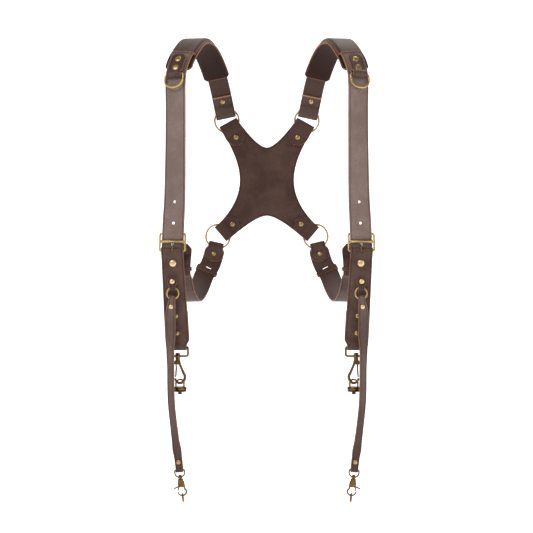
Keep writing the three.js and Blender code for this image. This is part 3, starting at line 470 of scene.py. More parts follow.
def pierce(pieces, shape):
    """Cuts the same holes in a left piece and its right twin."""
    for piece, one in zip(pieces, (shape, shape.mirrored())):
        mesh = bpy.data.meshes.new("drill")
        mesh.from_pydata((one.points * MM).tolist(), [], one.faces)
        bit = bpy.data.objects.new("drill", mesh)
        bpy.context.scene.collection.objects.link(bit)
        cut = piece.modifiers.new("holes", "BOOLEAN")
        cut.operation, cut.solver, cut.object = "DIFFERENCE", "EXACT", bit
        bpy.context.view_layer.update()
        fresh = bpy.data.meshes.new_from_object(piece.evaluated_get(bpy.context.evaluated_depsgraph_get()))
        kept = {tuple(np.round(vertex.co, 7)) for vertex in piece.data.vertices}
        for vertex, mark in zip(fresh.vertices, fresh.attributes["edge"].data):
            if tuple(np.round(vertex.co, 7)) not in kept:
                mark.value = far_from_edge
        piece.modifiers.clear()
        piece.data = fresh
        fresh.polygons.foreach_set("use_smooth", [True] * len(fresh.polygons))
        fresh.set_sharp_from_angle(angle=math.radians(50))
        bpy.data.objects.remove(bit)


def lathe(profile, sides=28):
    """A turned form round local Z. Rows of the profile: radius, height; it starts and ends on the axis."""
    ring = np.linspace(0, 2 * math.pi, sides, endpoint=False)
    points, faces, starts = [], [], []
    for radius, height in profile:
        starts.append(len(points))
        if radius < 1e-6:
            points.append((0, 0, height))
        else:
            points += [(radius * math.cos(a), radius * math.sin(a), height) for a in ring]
    for row in range(len(profile) - 1):
        a, b = starts[row], starts[row + 1]
        one, two = profile[row][0] < 1e-6, profile[row + 1][0] < 1e-6
        for j in range(sides):
            k = (j + 1) % sides
            if one and not two:
                faces.append((a, b + k, b + j))
            elif two and not one:
                faces.append((a + j, a + k, b))
            elif not one:
                faces.append((a + j, a + k, b + k, b + j))
    return Shape(points, faces)


def turned_by(degrees, axis):
    return np.array(Matrix.Rotation(math.radians(degrees), 4, axis))


outward = turned_by(90, "X")

chest_rows = [
    # x as a share of chest_half, z as a share of roller_drop, turn
    (1.021, 0.905, 4), (1.008, 0.79, 12), (1.0, 0.56, 20), (0.998, 0.35, 22),
]
arch_rows = [
    # degrees round the arch, way inward from chest to ring as a share, turn
    (8, 0.0, 20), (20, 0.01, 16), (35, 0.085, 10), (50, 0.19, 6), (70, 0.31, 3), (90, 0.43, 0),
    (110, 0.55, 0), (130, 0.675, 0), (148, 0.79, 0), (165, 0.88, 0), (178, 0.945, 0),
]
crest_lift = strap_thick / 2 + gap + pad_thick
spring_z = crest_lift - arch_rise
buckle_half = chest_half * 1.032
shoulder_rows = [
    (-buckle_half - 0.5, buckle_weave - half_depth, -roller_drop - bottom_bar_drop - 1.5, 0, 0),
    (-buckle_half, buckle_weave - half_depth, -roller_drop, 0, 0),
    (-buckle_half + 0.8, -half_depth, top_bar_rise - roller_drop, 0, 0),
]
shoulder_rows += [(-x * chest_half, -half_depth, -z * roller_drop, 0, turn) for x, z, turn in chest_rows]
for degrees, inward, turn in arch_rows:
    a = math.radians(degrees)
    x = inward * (chest_half - ring_half) - chest_half
    shoulder_rows.append((x, -half_depth * math.cos(a), spring_z + arch_rise * math.sin(a), degrees, turn))
shoulder_rows.append((-ring_half, half_depth, -upper_ring_drop, 180, 0))
shoulder = Course(shoulder_rows)

shoulder_bend = shoulder.length - ring_bend(strap_width)
shoulder_reach = ring_fall(ring_radius, strap_width, ring_wire) + bar_room
stud_from_ring = 10
tail_past_stud = 9
back_stud_place = shoulder_bend - shoulder_reach - stud_from_ring
tail_end = back_stud_place - tail_past_stud
shoulder_strap = ribbon(shoulder, [
    [0, 0, strap_width - 6], [2.5, 0, strap_width], [shoulder_bend - 2, 0, strap_width],
    *fold(shoulder_bend, -fold_radius, fold_radius, 1, 1, strap_width),
    *ease(shoulder_bend - shoulder_reach + 4, -2 * fold_radius, strap_width,
          shoulder_bend - shoulder_reach - 5, tail_layer, strap_width),
    [tail_end, tail_layer, strap_width],
], strap_thick, raw_end=2)
shoulder_straps = both(
    "shoulder_strap", shoulder_strap, front_leather, nodes=["shoulder_strap"])

# The buckle's bars, from the strap that weaves through it: behind the roller, before the top bar.
buckle_wire = 3
roller_diameter = 4.4
top_bar = shoulder.at(shoulder.height_at(top_bar_rise - roller_drop))[0][0]
top_bar[1] += strap_thick / 2 + 3 * gap + buckle_wire / 2
roller_bar = shoulder.at(shoulder.height_at(-roller_drop))[0][0]
roller_bar[1] -= strap_thick / 2 + 2 * gap + roller_diameter / 2
top_bar[0] = roller_bar[0] = -buckle_half
buckle_up = (top_bar - roller_bar) / np.linalg.norm(top_bar - roller_bar)
bottom_bar = roller_bar - buckle_up * bottom_bar_drop

prong_wire = 2
hole_above_bar = 10.3
hole_pitch = 31
hole_diameter = 4
hole_in_use = shoulder.height_at(bottom_bar[2] + hole_above_bar)


def drill(matrix, diameter, reach=6):
    profile = [(0, -reach), (diameter / 2, -reach), (diameter / 2, reach), (0, reach)]
    return lathe(profile, 20).moved(matrix @ outward)


def slot_cutter(matrix, wide, long, reach=6):
    """A cutter with round ends whose length runs along local Z."""
    angles = np.linspace(0, 2 * math.pi, 20, endpoint=False)
    loop = [(wide / 2 * math.cos(a), math.copysign((long - wide) / 2, math.sin(a)) + wide / 2 * math.sin(a))
            for a in angles]
    sections = [[(x, y, z) for x, z in loop] for y in (-reach, reach)]
    return Shape(*skin(np.array(sections))).moved(matrix)


holes = drill(shoulder.frame(hole_in_use + hole_pitch), hole_diameter)
holes = holes + drill(shoulder.frame(hole_in_use + 2 * hole_pitch), hole_diameter)
holes = holes + slot_cutter(shoulder.frame(hole_in_use), 1.5 * prong_wire, 4.2 * prong_wire)
pierce(shoulder_straps, holes)


def stitches(course, start, end, heights, offsets, pitch=3.4, long=2.3, thick=0.7, side=0.0):
    """Sewn thread: one short rounded stitch after another, along a course at given offsets."""
    places = np.arange(start + pitch / 2, end - long / 2, pitch)
    profile = np.array([(-0.5, 0.25), (-0.35, 0.8), (0, 1), (0.35, 0.8), (0.5, 0.25)])
    around = np.radians(np.arange(0, 360, 60))
    points, faces = [], []
    for v in heights:
        for offset_pair in offsets:
            for s in places:
                offset = np.interp(s, (start, end), np.broadcast_to(offset_pair, 2))
                p, along, across, out = (row[0] for row in course.at(s))
                middle = p + out * v + across * (side + offset)
                base = len(points)
                spin = -np.sign(np.cross(across, out) @ along)
                for share, swell in profile:
                    for a in around * spin:
                        points.append(middle + along * share * long + across * math.cos(a) * swell * thick / 2
                                      + out * math.sin(a) * swell * thick / 2)
                count = len(around)
                for i in range(len(profile) - 1):
                    for j in range(count):
                        k = (j + 1) % count
                        a, b = base + i * count, base + (i + 1) * count
                        faces.append((a + j, b + j, b + k, a + k))
                top = base + (len(profile) - 1) * count
                faces.append(tuple(base + j for j in range(count)))
                faces.append(tuple(top + j for j in range(count))[::-1])
    return Shape(points, faces)


def waxed_thread(name, tone):
    """Bonded thread with a fine twist, a little lighter where it catches wear."""
    finish = Finish(name)
    twist = finish.noise(2600, 3, 0.6)
    colour = finish.blend(twist.between(0.35, 0.65), tuple(c * 0.6 for c in tone), tone)
    return finish.done(Base_Color=colour, Roughness=0.7, Normal=finish.bump(twist, 0.5, 0.0002))


thread = waxed_thread("thread", (0.034, 0.018, 0.013))
edge_offset = strap_width / 2 - crease_inset
edge_rows = [-edge_offset, edge_offset]
thread_height = strap_thick / 2 - 0.3
pad_front_drop = 50
pad_back_drop = 37
pad_front = shoulder.height_at(-pad_front_drop)
pad_back = shoulder.height_at(-pad_back_drop, pad_front + 60)
shoulder_seam = stitches(shoulder, bottom_bar_drop + 24, pad_front - 2, [thread_height], edge_rows)
shoulder_seam = shoulder_seam + stitches(
    shoulder, pad_back + 3, shoulder_bend - 6, [thread_height], edge_rows)
both("shoulder_stitching", shoulder_seam, thread)


# Shoulder pads: a wide base of soft dark leather under the strap and a narrower crowned cover
# over it. The two are sewn together beside the strap, so the pad slides along it as a sleeve.
pad_width = 42
pad_corner = 4
cover_width = 38
cover_thick = 1.6
cover_seam = 18.1
base_edge_seam = 18.4
base_layer = -(strap_thick / 2 + gap + pad_thick / 2)
cover_front = pad_front + 31
cover_back = pad_back - pad_corner - 2
pad_rows = [
    (6.0, 1.0, 0), (4.0, 0.98, 0), (2.6, 0.9, 0), (1.2, 0.72, 0.2), (0.3, 0.42, 0.8), (0.0, 0.1, 1),
    (0.2, -0.5, 1), (1.0, -0.82, 0.4), (2.4, -0.97, 0), (6.0, -1.0, 0),
]
base = ribbon(shoulder, [
    [pad_front, base_layer, pad_width - 2 * pad_corner], [pad_front + pad_corner, base_layer, pad_width],
    [pad_back - pad_corner, base_layer, pad_width], [pad_back, base_layer, pad_width - 2 * pad_corner],
], pad_thick, section=pad_rows)

# Half of the cover's section: share of half the width, height, rim and lining marks.
crown = strap_thick / 2 + gap + cover_thick
roof = strap_thick / 2 + gap + 0.15
cover_half = [
    (0.0, crown, 0, 0), (0.5, crown, 0, 0), (0.78, crown - 0.05, 0, 0), (0.87, crown - 0.5, 0, 0),
    (0.915, crown - 1.8, 0, 0), (0.94, crown - 3.8, 0, 0), (0.97, base_layer + 2.7, 0.3, 0),
    (1.0, base_layer + 2.2, 1, 0), (0.99, base_layer + 1.6, 1, 0), (0.9, base_layer + 1.4, 0, 1),
    (0.865, -strap_thick / 2 - gap, 0, 1), (0.862, roof - 0.2, 0, 1), (0.5, roof, 0, 1), (0.0, roof, 0, 1),
]
places = np.linspace(cover_front, cover_back, int((cover_back - cover_front) / 1.8))
p, along, across, out = shoulder.at(places)
outline = [(1, row) for row in cover_half] + [(-1, row) for row in cover_half[::-1][1:-1]]
layers = [p + across * sign * share * cover_width / 2 + out * v for sign, (share, v, _, _) in outline]
cover_points, cover_faces = skin(np.stack(layers, 1))
rows = len(places)
cover_marks = {
    "rim": np.tile([row[2] for _, row in outline], rows).astype(float),
    "inner": np.tile([row[3] for _, row in outline], rows).astype(float),
    "edge": np.tile([far_from_edge if lining else (1 - share) * cover_width / 2
                     for _, (share, _, _, lining) in outline], rows),
}
for end in (slice(0, len(outline)), slice(-len(outline), None)):
    cover_marks["rim"][end] = 1
cover = Shape(cover_points, cover_faces, cover_marks)

pad_leather = tanned(
    "pad_leather", (0.019, 0.0072, 0.0045), (0.036, 0.0145, 0.0092), (0.021, 0.0085, 0.0058),
    (0.30, 0.125, 0.075), rough=0.6, relief=0.6)
for piece in both("pad_base", base, pad_leather, nodes=["shoulder_pad"]):
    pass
cover_leather = tanned(
    "cover_leather", (0.058, 0.031, 0.022), (0.096, 0.056, 0.042), (0.03, 0.016, 0.012),
    (0.34, 0.15, 0.09), rough=0.52, relief=0.5)
both("pad_cover", cover, cover_leather, nodes=["shoulder_pad"])
dark_thread = waxed_thread("dark_thread", (0.05, 0.030, 0.024))
pad_seam = stitches(shoulder, cover_front + 2, cover_back - 2, [base_layer + 2.95], [-cover_seam, cover_seam])
both("pad_stitching", pad_seam, dark_thread)
pad_face = pad_thick / 2 - 0.15
base_rows = [-base_edge_seam, base_edge_seam]
base_seam = stitches(shoulder, pad_front + 6, pad_back - 6, [base_layer - pad_face], base_rows)
base_seam = base_seam + stitches(
    shoulder, pad_front + 6, cover_front - 2, [base_layer + pad_face], base_rows)
both("base_stitching", base_seam, dark_thread)


# Ring tabs: a 2 mm leather tongue high on the chest, folded round the D-ring's straight bar with
# both layers riveted through the strap. The D-ring is bent from 3 mm brass wire and hangs free.
d_drop = 63
d_width = 30.6
d_height = 24
tab_thick = 2
ring_tab_width = 22
ring_tab_length = 37.5
small_head = 7.2
head_rise = 1.8
post_diameter = 4
d_bar = shoulder.height_at(-d_drop)
tab_back = strap_thick / 2 + 2 * gap + tab_thick / 2
tab_fold = bar_room + tab_thick / 2
d_plane = tab_back + tab_fold
tab_front = tab_back + tab_thick + gap
tab_tip = d_bar + ring_tab_length


tip_share = 0.46


def round_end(tip, ahead, v, width, steps=9, reach=tip_share):
    """A rounded end that reaches `tip`, coming from smaller or larger s."""
    angles = np.radians(np.linspace(0, 84, steps + 1))
    return [[tip - ahead * width * reach * (1 - math.sin(a)), v, width * math.cos(a)] for a in angles]


ring_tab = ribbon(shoulder, [
    [tab_tip - 5, tab_back, ring_tab_width - 4], [tab_tip - 7, tab_back, ring_tab_width],
    [d_bar + 6, tab_back, ring_tab_width],
    *fold(d_bar, d_plane, tab_fold, -1, -1, ring_tab_width),
    *ease(d_bar + 2, d_plane + tab_fold, ring_tab_width, d_bar + 8, tab_front, ring_tab_width),
    [tab_tip - tip_share * ring_tab_width, tab_front, ring_tab_width],
    *round_end(tab_tip, 1, tab_front, ring_tab_width),
], tab_thick, step=1.0)


def rivet(matrix, front, back, head, under=None, post=post_diameter):
    """A tubular rivet: low domed cap in front, flatter cap behind, placed by its outward axis."""
    under = under or head
    low = -(head_rise * 0.7)
    profile = [(0, back + low), (under * 0.3, back + low * 0.96), (under * 0.43, back + low * 0.72),
               (under * 0.49, back + low * 0.3), (under / 2, back), (post / 2, back), (post / 2, front),
               (head / 2 - 0.15, front), (head / 2, front + 0.25)]
    for degrees in range(20, 90, 10):
        a = math.radians(degrees)
        profile.append((head / 2 * math.cos(a) ** 0.8, front + 0.25 + (head_rise - 0.25) * math.sin(a)))
    profile.append((0, front + head_rise))
    return lathe(profile, 32).moved(np.array(matrix) @ outward)


large_head = 10
back_head = 5
tab_rivets = [rivet(shoulder.frame(d_bar + s), tab_front + tab_thick / 2 - 0.05, strap_thick / 2,
                    large_head, back_head) for s in (10.5, ring_tab_length - 12)]
# The drop straps are front leather, and this darker copy paints in the shade they hang in. The ring and leash
# tabs share it.
shaded_drop_leather = tanned(
    "shaded_drop_leather", (0.064, 0.035, 0.026), (0.108, 0.066, 0.052), (0.050, 0.025, 0.018),
    (0.26, 0.115, 0.07), rough=0.4)
both("ring_tab", ring_tab, shaded_drop_leather, nodes=["ring_tab"])
tab_edge = ring_tab_width / 2 - 1.9
tab_thread_height = tab_front + tab_thick / 2 - 0.25
tab_seam = stitches(
    shoulder, d_bar + 5, tab_tip - 9, [tab_thread_height], [-tab_edge, tab_edge],
    pitch=2.8, long=1.9, thick=0.45)
both("tab_stitching", tab_seam, thread)


def cast_brass(name, shine, shade, rough, stain):
    """Brass worn by handling: soft hairline scratches, duller patches and warm hollows."""
    finish = Finish(name)
    patches = finish.noise(60, 6, 0.62)
    hairs = finish.noise(900, 4, 0.7)
    spots = finish.noise(260, 5, 0.7).between(0.5, 0.72)
    colour = finish.blend(patches.between(0.36, 0.66), shine, tuple(c * 0.9 for c in shine))
    colour = finish.blend(spots * stain, colour, shade)
    roughness = (patches - 0.5) * 0.16 + spots * 0.08 + rough
    return finish.done(Base_Color=colour, Metallic=1.0, Roughness=roughness,
                       Normal=finish.bump(hairs * 0.3, 0.02, 0.0001))


# Darker aged brass: the studs' and tab rivets' own tarnish, and painted shade where it is given to the drop
# straps' two small rivets.
aged_and_shaded_brass = cast_brass("aged_and_shaded_brass", (0.46, 0.31, 0.135), (0.18, 0.10, 0.035), rough=0.36, stain=0.5)
both("ring_tab_rivets", tab_rivets[0] + tab_rivets[1], aged_and_shaded_brass, nodes=["ring_tab"])


def wire_path(points, diameter, closed=True, sides=14, step=0.7):
    """Round wire bent in the local XZ plane through the points; a closed one's corners are softened."""
    points = np.array(points, float)
    if closed:
        points = np.vstack([points, points[:1]])
    way = np.concatenate([[0], np.cumsum(np.linalg.norm(np.diff(points, axis=0), axis=1))])
    count = max(12, int(way[-1] / step))
    at = np.linspace(0, way[-1], count, endpoint=not closed)
    line = np.stack([np.interp(at, way, points[:, k]) for k in range(2)], 1)
    if closed:
        for _ in range(2):
            line = (np.roll(line, -1, 0) + 2 * line + np.roll(line, 1, 0)) / 4
        ahead = np.roll(line, -1, 0) - np.roll(line, 1, 0)
    else:
        ahead = np.gradient(line, axis=0)
    ahead /= np.linalg.norm(ahead, axis=1)[:, None]
    normal = np.stack([-ahead[:, 1], ahead[:, 0]], 1)
    angles = np.linspace(0, 2 * math.pi, sides, endpoint=False)
    diameters = np.interp(at / way[-1], np.linspace(0, 1, np.size(diameter)), np.atleast_1d(diameter))
    radius = diameters[:, None] / 2
    flat, deep = radius * np.cos(angles), radius * np.sin(angles)
    sections = np.stack([line[:, :1] + normal[:, :1] * flat, deep, line[:, 1:] + normal[:, 1:] * flat], 2)
    return Shape(*skin(sections, closed))


def arc(x, z, radius_x, radius_z, start, end, steps=10):
    angles = np.radians(np.linspace(start, end, steps + 1))
    return [(x + radius_x * math.cos(a), z + radius_z * math.sin(a)) for a in angles]


def d_loop(width, height, corner):
    x = width / 2
    return (arc(x - corner, -corner, corner, corner, 90, 0, 6)
            + arc(0, 0.9 * x - height, x, 0.9 * x, 0, -180, 30)
            + arc(corner - x, -corner, corner, corner, 180, 90, 6))


def frame_loop(width, height, corner):
    x = width / 2 - corner
    return (arc(x, -corner, corner, corner, 90, 0, 6)
            + arc(x, corner - height, corner, corner, 0, -90, 6)
            + arc(-x, corner - height, corner, corner, -90, -180, 6)
            + arc(-x, -corner, corner, corner, 180, 90, 6))


brass = cast_brass("brass", (0.50, 0.335, 0.135), (0.34, 0.21, 0.08), rough=0.42, stain=0.12)
d_ring = wire_path(d_loop(d_width - ring_wire, d_height - ring_wire, 2.2), ring_wire)
both("d_ring", d_ring.moved(shoulder.frame(d_bar, d_plane)), brass, "d_ring", ["d_ring"])


# Back rings and studs: welded rings of 3 mm brass wire between the straps and the plate, and the
# studs that close each fold. They are a paler, softer gold than the buckles.
lower_ring_half = 79
lower_ring_drop = 291.5
stud_head = 8


def round_ring(x, y, z, radius, wire):
    centre = np.eye(4)
    centre[:3, 3] = (x, y, z)
    return wire_path(arc(0, 0, radius, radius, 0, 360, 96)[:-1], wire).moved(centre)


pale_brass = cast_brass("pale_brass", (0.46, 0.34, 0.175), (0.34, 0.235, 0.11), rough=0.44, stain=0.15)
ring_y = half_depth - fold_radius
for name, half, fall in [
    ("upper_ring", ring_half, upper_ring_drop),
    ("lower_ring", lower_ring_half, lower_ring_drop),
]:
    both(name, round_ring(-half, ring_y, -fall, ring_radius, ring_wire), pale_brass, nodes=[name])
stud_back = tail_layer - strap_thick / 2 - gap
back_stud = rivet(shoulder.frame(back_stud_place), strap_thick / 2 + gap, stud_back, stud_head)
both("back_stud", back_stud, aged_and_shaded_brass, nodes=["back_stud"])


# Back plate: one piece of 3 mm dark leather between the shoulder blades. Each of its four arms is
# folded forward round a ring and its rounded tongue is closed on the body side with one stud.
waist_half = 44
waist_drop = 200
notch_drop = 147
hem_drop = 258
stud_clear = 5


class Arm:
    """An arm of the plate, from the centre of its ring inward."""

    def __init__(self, ring_x, ring_z, lean, width, tongue, name):
        a = math.radians(lean)
        self.course = Course([(ring_x + s * math.cos(a), half_depth, ring_z + s * math.sin(a), 180, 0)
                              for s in (0, 30, 60)])
        self.width, self.tongue, self.name = width, tongue, name
        self.bend = ring_bend(width)
        self.reach = ring_fall(ring_radius, width, ring_wire) + bar_room
        self.stud = self.bend + self.reach + stud_clear + stud_head / 2

    def corner(self, sign):
        point, _, across, _ = (row[0] for row in self.course.at(self.bend))
        return (point + across * sign * self.width / 2)[[0, 2]]

    def tab(self):
        bend, reach, width = self.bend, self.reach, self.width
        return ribbon(self.course, [
            [bend + 0.4, 0, width], *fold(bend, -fold_radius, fold_radius, -1, 1, width),
            *ease(bend + reach - 4, -2 * fold_radius, width, bend + reach + 4, tail_layer, width),
            *round_end(bend + self.tongue, 1, tail_layer, width, reach=0.56),
        ], strap_thick, step=1.1)


upper_arm = Arm(-ring_half, -upper_ring_drop, -61, 32, 36, "yoke_upper_stud")
lower_arm = Arm(-lower_ring_half, -lower_ring_drop, 40.5, 30, 32, "yoke_lower_stud")


def bow(start, middle, end, steps):
    """A cut edge that curves from start to end, drawn toward the middle point."""
    share = np.linspace(0, 1, steps + 1)[:, None]
    start, middle, end = (np.array(one, float) for one in (start, middle, end))
    return (1 - share) ** 2 * start + 2 * share * (1 - share) * middle + share ** 2 * end


inner_top, outer_top = upper_arm.corner(1), upper_arm.corner(-1)
outer_low, inner_low = lower_arm.corner(1), lower_arm.corner(-1)
waist = (-waist_half, -waist_drop)


def fold_line(start, end):
    """The middle of a fold: two points that get neither a rounded edge nor a crease."""
    return [start + (end - start) * 0.38, start + (end - start) * 0.62]


bow_steps = 26
left_half = [
    *bow((0, -notch_drop), (-0.34 * waist_half, -notch_drop), inner_top, bow_steps),
    *fold_line(inner_top, outer_top),
    *bow(outer_top, (-waist_half, -waist_drop + 35), waist, bow_steps),
    *bow(waist, (-waist_half, -waist_drop - 38), outer_low, bow_steps)[1:],
    *fold_line(outer_low, inner_low),
    *bow(inner_low, (-0.41 * waist_half, -hem_drop), (0, -hem_drop), bow_steps),
]
plain, beside_fold, in_fold = 0, 1, 2
folded_edge = [beside_fold, in_fold, in_fold, beside_fold]
bow_kinds = [plain] * bow_steps
half_kinds = bow_kinds + folded_edge + bow_kinds + bow_kinds[1:] + folded_edge + bow_kinds
plate_loop = np.array(left_half + [(-x, z) for x, z in left_half[::-1][1:-1]])
plate_kinds = half_kinds + half_kinds[::-1][1:-1]


def slab(loop, rows, kinds=None):
    """A flat piece cut to a closed outline in XZ. Columns of a row: inset, y, rim; front to back."""
    loop = np.array(loop, float)
    area = np.sum(loop[:, 0] * np.roll(loop[:, 1], -1) - np.roll(loop[:, 0], -1) * loop[:, 1])
    if area < 0:
        loop, kinds = loop[::-1], kinds[::-1] if kinds else None
    ahead, behind = np.roll(loop, -1, 0) - loop, loop - np.roll(loop, 1, 0)
    ahead /= np.linalg.norm(ahead, axis=1)[:, None]
    behind /= np.linalg.norm(behind, axis=1)[:, None]
    inward = np.stack([-(ahead + behind)[:, 1], (ahead + behind)[:, 0]], 1)
    inward /= np.linalg.norm(inward, axis=1)[:, None]
    inward /= np.maximum(np.sum(inward * np.stack([-ahead[:, 1], ahead[:, 0]], 1), 1), 0.6)[:, None]
    middle = [kind == in_fold for kind in kinds or [plain] * len(loop)]
    for i, kind in enumerate(kinds or []):
        if kind == beside_fold:
            inward[i] = ahead[i] if middle[(i + 1) % len(loop)] else -behind[i]
        if kind == in_fold:
            inward[i] = 0
    deepest = max(abs(row[1]) for row in rows)
    sections, rim, edge = [], [], []
    for inset, y, cut_edge in rows:
        flat = loop + inward * inset
        depth = np.where(middle, math.copysign(deepest, y), y)
        sections.append(np.stack([flat[:, 0], depth, flat[:, 1]], 1))
        rim.append(np.where(middle, 0, cut_edge))
        edge.append(np.where(middle, far_from_edge, inset))
    marks = {"rim": np.concatenate(rim), "edge": np.concatenate(edge)}
    return Shape(*skin(np.array(sections)), marks)


plate_rows = [(inset, -height * strap_thick / 2, rim) for inset, height, rim in crease_rows]
plate = slab(plate_loop, plate_rows, plate_kinds)
plate.points[:, 1] += half_depth
yoke = plate
for arm in (upper_arm, lower_arm):
    yoke = yoke + arm.tab() + arm.tab().mirrored()
# Dark leather for the back plate, the side straps and their keepers, with its tones pushed darker still so
# that the side straps look shaded: painted shade on top of the leather's own dark colour.
dark_and_shaded_leather = tanned(
    "dark_and_shaded_leather", (0.054, 0.027, 0.021), (0.088, 0.049, 0.038), (0.060, 0.032, 0.025),
    (0.25, 0.108, 0.068))
made("back_yoke", yoke, dark_and_shaded_leather, nodes=["back_yoke"])
for arm in (upper_arm, lower_arm):
    stud = rivet(arm.course.frame(arm.stud), strap_thick / 2, tail_layer - strap_thick / 2 - 0.4, stud_head)
    both(arm.name, stud, aged_and_shaded_brass, nodes=[arm.name])


# Buckles: a cast brass frame, a roller that turns on its own bar and a prong of 2 mm wire. The
# frame hangs at the strap's end: strap before the top bar, behind the roller, drop strap below.
buckle_width = 40
roller_bar_diameter = 2.6


def basis(x, y, z, origin):
    """Placing matrix from its three axes and its origin."""
    matrix = np.eye(4)
    matrix[:3, 0], matrix[:3, 1], matrix[:3, 2], matrix[:3, 3] = x, y, z, origin
    return matrix


def crosswise(shape, x, y, z):
    """Lays a turned form with its axis along X and moves it."""
    laid = shape.moved(turned_by(90, "Y"))
    laid.points += (x, y, z)
    return laid


def tube(inner, outer, length, ease_edge=0.35, sides=40):
    """A ring or short tube round local Z with eased edges, centred."""
    half, e = length / 2, ease_edge
    section = [(inner, -half + e), (inner + e, -half), (outer - e, -half), (outer, -half + e),
               (outer, half - e), (outer - e, half), (inner + e, half), (inner, half - e)]
    angles = np.linspace(0, 2 * math.pi, sides, endpoint=False)
    sections = [[(r * math.cos(a), r * math.sin(a), z) for r, z in section] for a in angles]
    return Shape(*skin(np.array(sections), True))


def turned(*profile, sides=32):
    """A solid turned form from (radius, height) rows, closed on its axis."""
    return lathe([(0, profile[0][1]), *profile, (0, profile[-1][1])], sides)


def onward(p0, p1, p2, p3, steps):
    """A smooth run of points from p1 up to p2, steered by the points on either side."""
    return [0.5 * (2 * p1 + (p2 - p0) * w + (2 * p0 - 5 * p1 + 4 * p2 - p3) * w ** 2
                   + (3 * p1 - p0 - 3 * p2 + p3) * w ** 3) for w in np.linspace(0, 1, steps, endpoint=False)]


def eased(points, steps=10):
    """A smooth open line through the points."""
    points = np.array(points, float)
    whole = np.vstack([2 * points[0] - points[1], points, 2 * points[-1] - points[-2]])
    line = []
    for i in range(len(points) - 1):
        line += onward(*whole[i:i + 4], steps)
    return [*line, points[-1]]


roller_reach = np.linalg.norm(top_bar - roller_bar)
rightward = np.array([1.0, 0, 0])
buckle_place = basis(rightward, np.cross(buckle_up, rightward), buckle_up, top_bar)
bar_half = (buckle_width - buckle_wire) / 2
cross_bar = turned((roller_bar_diameter / 2, -bar_half), (roller_bar_diameter / 2, bar_half))
buckle = wire_path(frame_loop(2 * bar_half, roller_reach + bottom_bar_drop, 2.4), buckle_wire, sides=16)
buckle = buckle + crosswise(cross_bar, 0, 0, -roller_reach)
both("buckle_frame", buckle.moved(buckle_place), brass, nodes=["buckle_frame"])
roller_length = buckle_width - 2 * buckle_wire - 2 * gap
roller = crosswise(tube(roller_bar_diameter / 2 + gap, roller_diameter / 2, roller_length, ease_edge=0.4),
                   0, 0, -roller_reach)
both("buckle_roller", roller.moved(buckle_place), brass, nodes=["buckle_roller"])
prong_loop = buckle_wire / 2 + gap + prong_wire / 2
prong_line = [*arc(0, 0, prong_loop, prong_loop, 120, 350, 14),
              (4.5, 4), (8, 8.6), (10.9, 13), (10.6, 18), (9, 21.5)]
prong_taper = [0.7, 1, 1, 1, 1, 1, 1, 1, 0.85, 0.55]
prong = wire_path(eased(prong_line), prong_wire * np.array(prong_taper), closed=False, sides=12, step=0.4)
prong_place = basis([0, 1, 0], [-1, 0, 0], [0, 0, 1], bottom_bar)
both("buckle_prong", prong.moved(prong_place), brass, nodes=["buckle_prong"])


# Side straps: 32 mm leather, dark and darker still as painted shade, from the lower ring, under the arm,
# to the chest side. The end at the ring narrows, is folded round it and closed by one small rivet; two
# plain leather keepers hold it, and its front end lies behind the drop strap under the large rivet.
side_end_half = 127
side_loop_drop = 87
keeper_thick = 1.5
drop_layer = (strap_thick + gap) / 2
drop_face = drop_layer + strap_thick / 2
side_top = -(roller_drop + 2)
keeper_y = bottom_bar[1] + drop_face + 2 * gap + keeper_thick + strap_thick / 2
behind_tail_y = buckle_weave - half_depth + strap_thick + 2 * gap
side_sweep = [
    # way outward as a share, depth as a share of half_depth, share of side_loop_drop, facing
    (0.25, 0.93, 0.35, 186), (0.43, 0.81, 0.53, 200), (0.6, 0.48, 0.816, 232), (0.72, 0.14, 0.965, 262),
    (0.82, -0.18, 0.985, 285), (0.925, -0.52, 0.83, 318), (0.99, -0.82, 0.57, 345),
]
side_way = side_end_half - lower_ring_half
side = Course([
    (-lower_ring_half, half_depth, -lower_ring_drop, 180, 0),
    (-lower_ring_half - 0.13 * side_way, half_depth, -lower_ring_drop - 26, 180, 0),
    *[(-lower_ring_half - out * side_way, depth * half_depth, side_top - down * side_loop_drop, facing, 0)
      for out, depth, down, facing in side_sweep],
    (-side_end_half, keeper_y + 1.8, -roller_drop - 48, 360, 0),
    (-side_end_half, keeper_y, -roller_drop - 37, 360, 0),
    (-side_end_half + 0.5, keeper_y, -roller_drop - 27, 360, 0),
    (-side_end_half + 1, behind_tail_y, -roller_drop - 18, 360, 0),
    (-side_end_half + 2.2, behind_tail_y, side_top, 360, 0),
])
side_neck = 24
side_bend = ring_bend(side_neck)
side_reach = ring_fall(ring_radius, side_neck, ring_wire) + bar_room
side_tip = side_bend + 30
side_strap = ribbon(side, [
    *round_end(side_tip, 1, tail_layer, strap_width)[::-1],
    *ease(side_bend + side_reach + 6, tail_layer, strap_width,
          side_bend + side_reach - 3, -2 * fold_radius, side_neck),
    *fold(side_bend, -fold_radius, fold_radius, -1, -1, side_neck),
    *ease(side_bend + 2, 0, side_neck, side_bend + 10, 0, strap_width),
    [side.length - 7, 0, strap_width], [side.length, 0, strap_width - 14],
], strap_thick)
side_straps = both("side_strap", side_strap, dark_and_shaded_leather, nodes=["side_strap"])
side_keeper_place = side.height_at(side_top - 41)
front_keeper_place = side.height_at(-roller_drop - 39.5, side.length * 0.6)
slit_before_keeper = 7
slit_width = 3
slit_length = 10
slit_place = side.frame(side_keeper_place - slit_before_keeper) @ turned_by(90, "Y")
pierce(side_straps, slot_cutter(slit_place, slit_width, slit_length))
side_rivet_place = side_bend + 15.5
side_rivet = rivet(side.frame(side_rivet_place), strap_thick / 2, tail_layer - strap_thick / 2, small_head)
both("side_rivet", side_rivet, aged_and_shaded_brass, nodes=["side_strap"])
side_seam = stitches(side, side_bend + 34, side.length - 9, [thread_height], edge_rows)
both("side_stitching", side_seam, dark_thread)


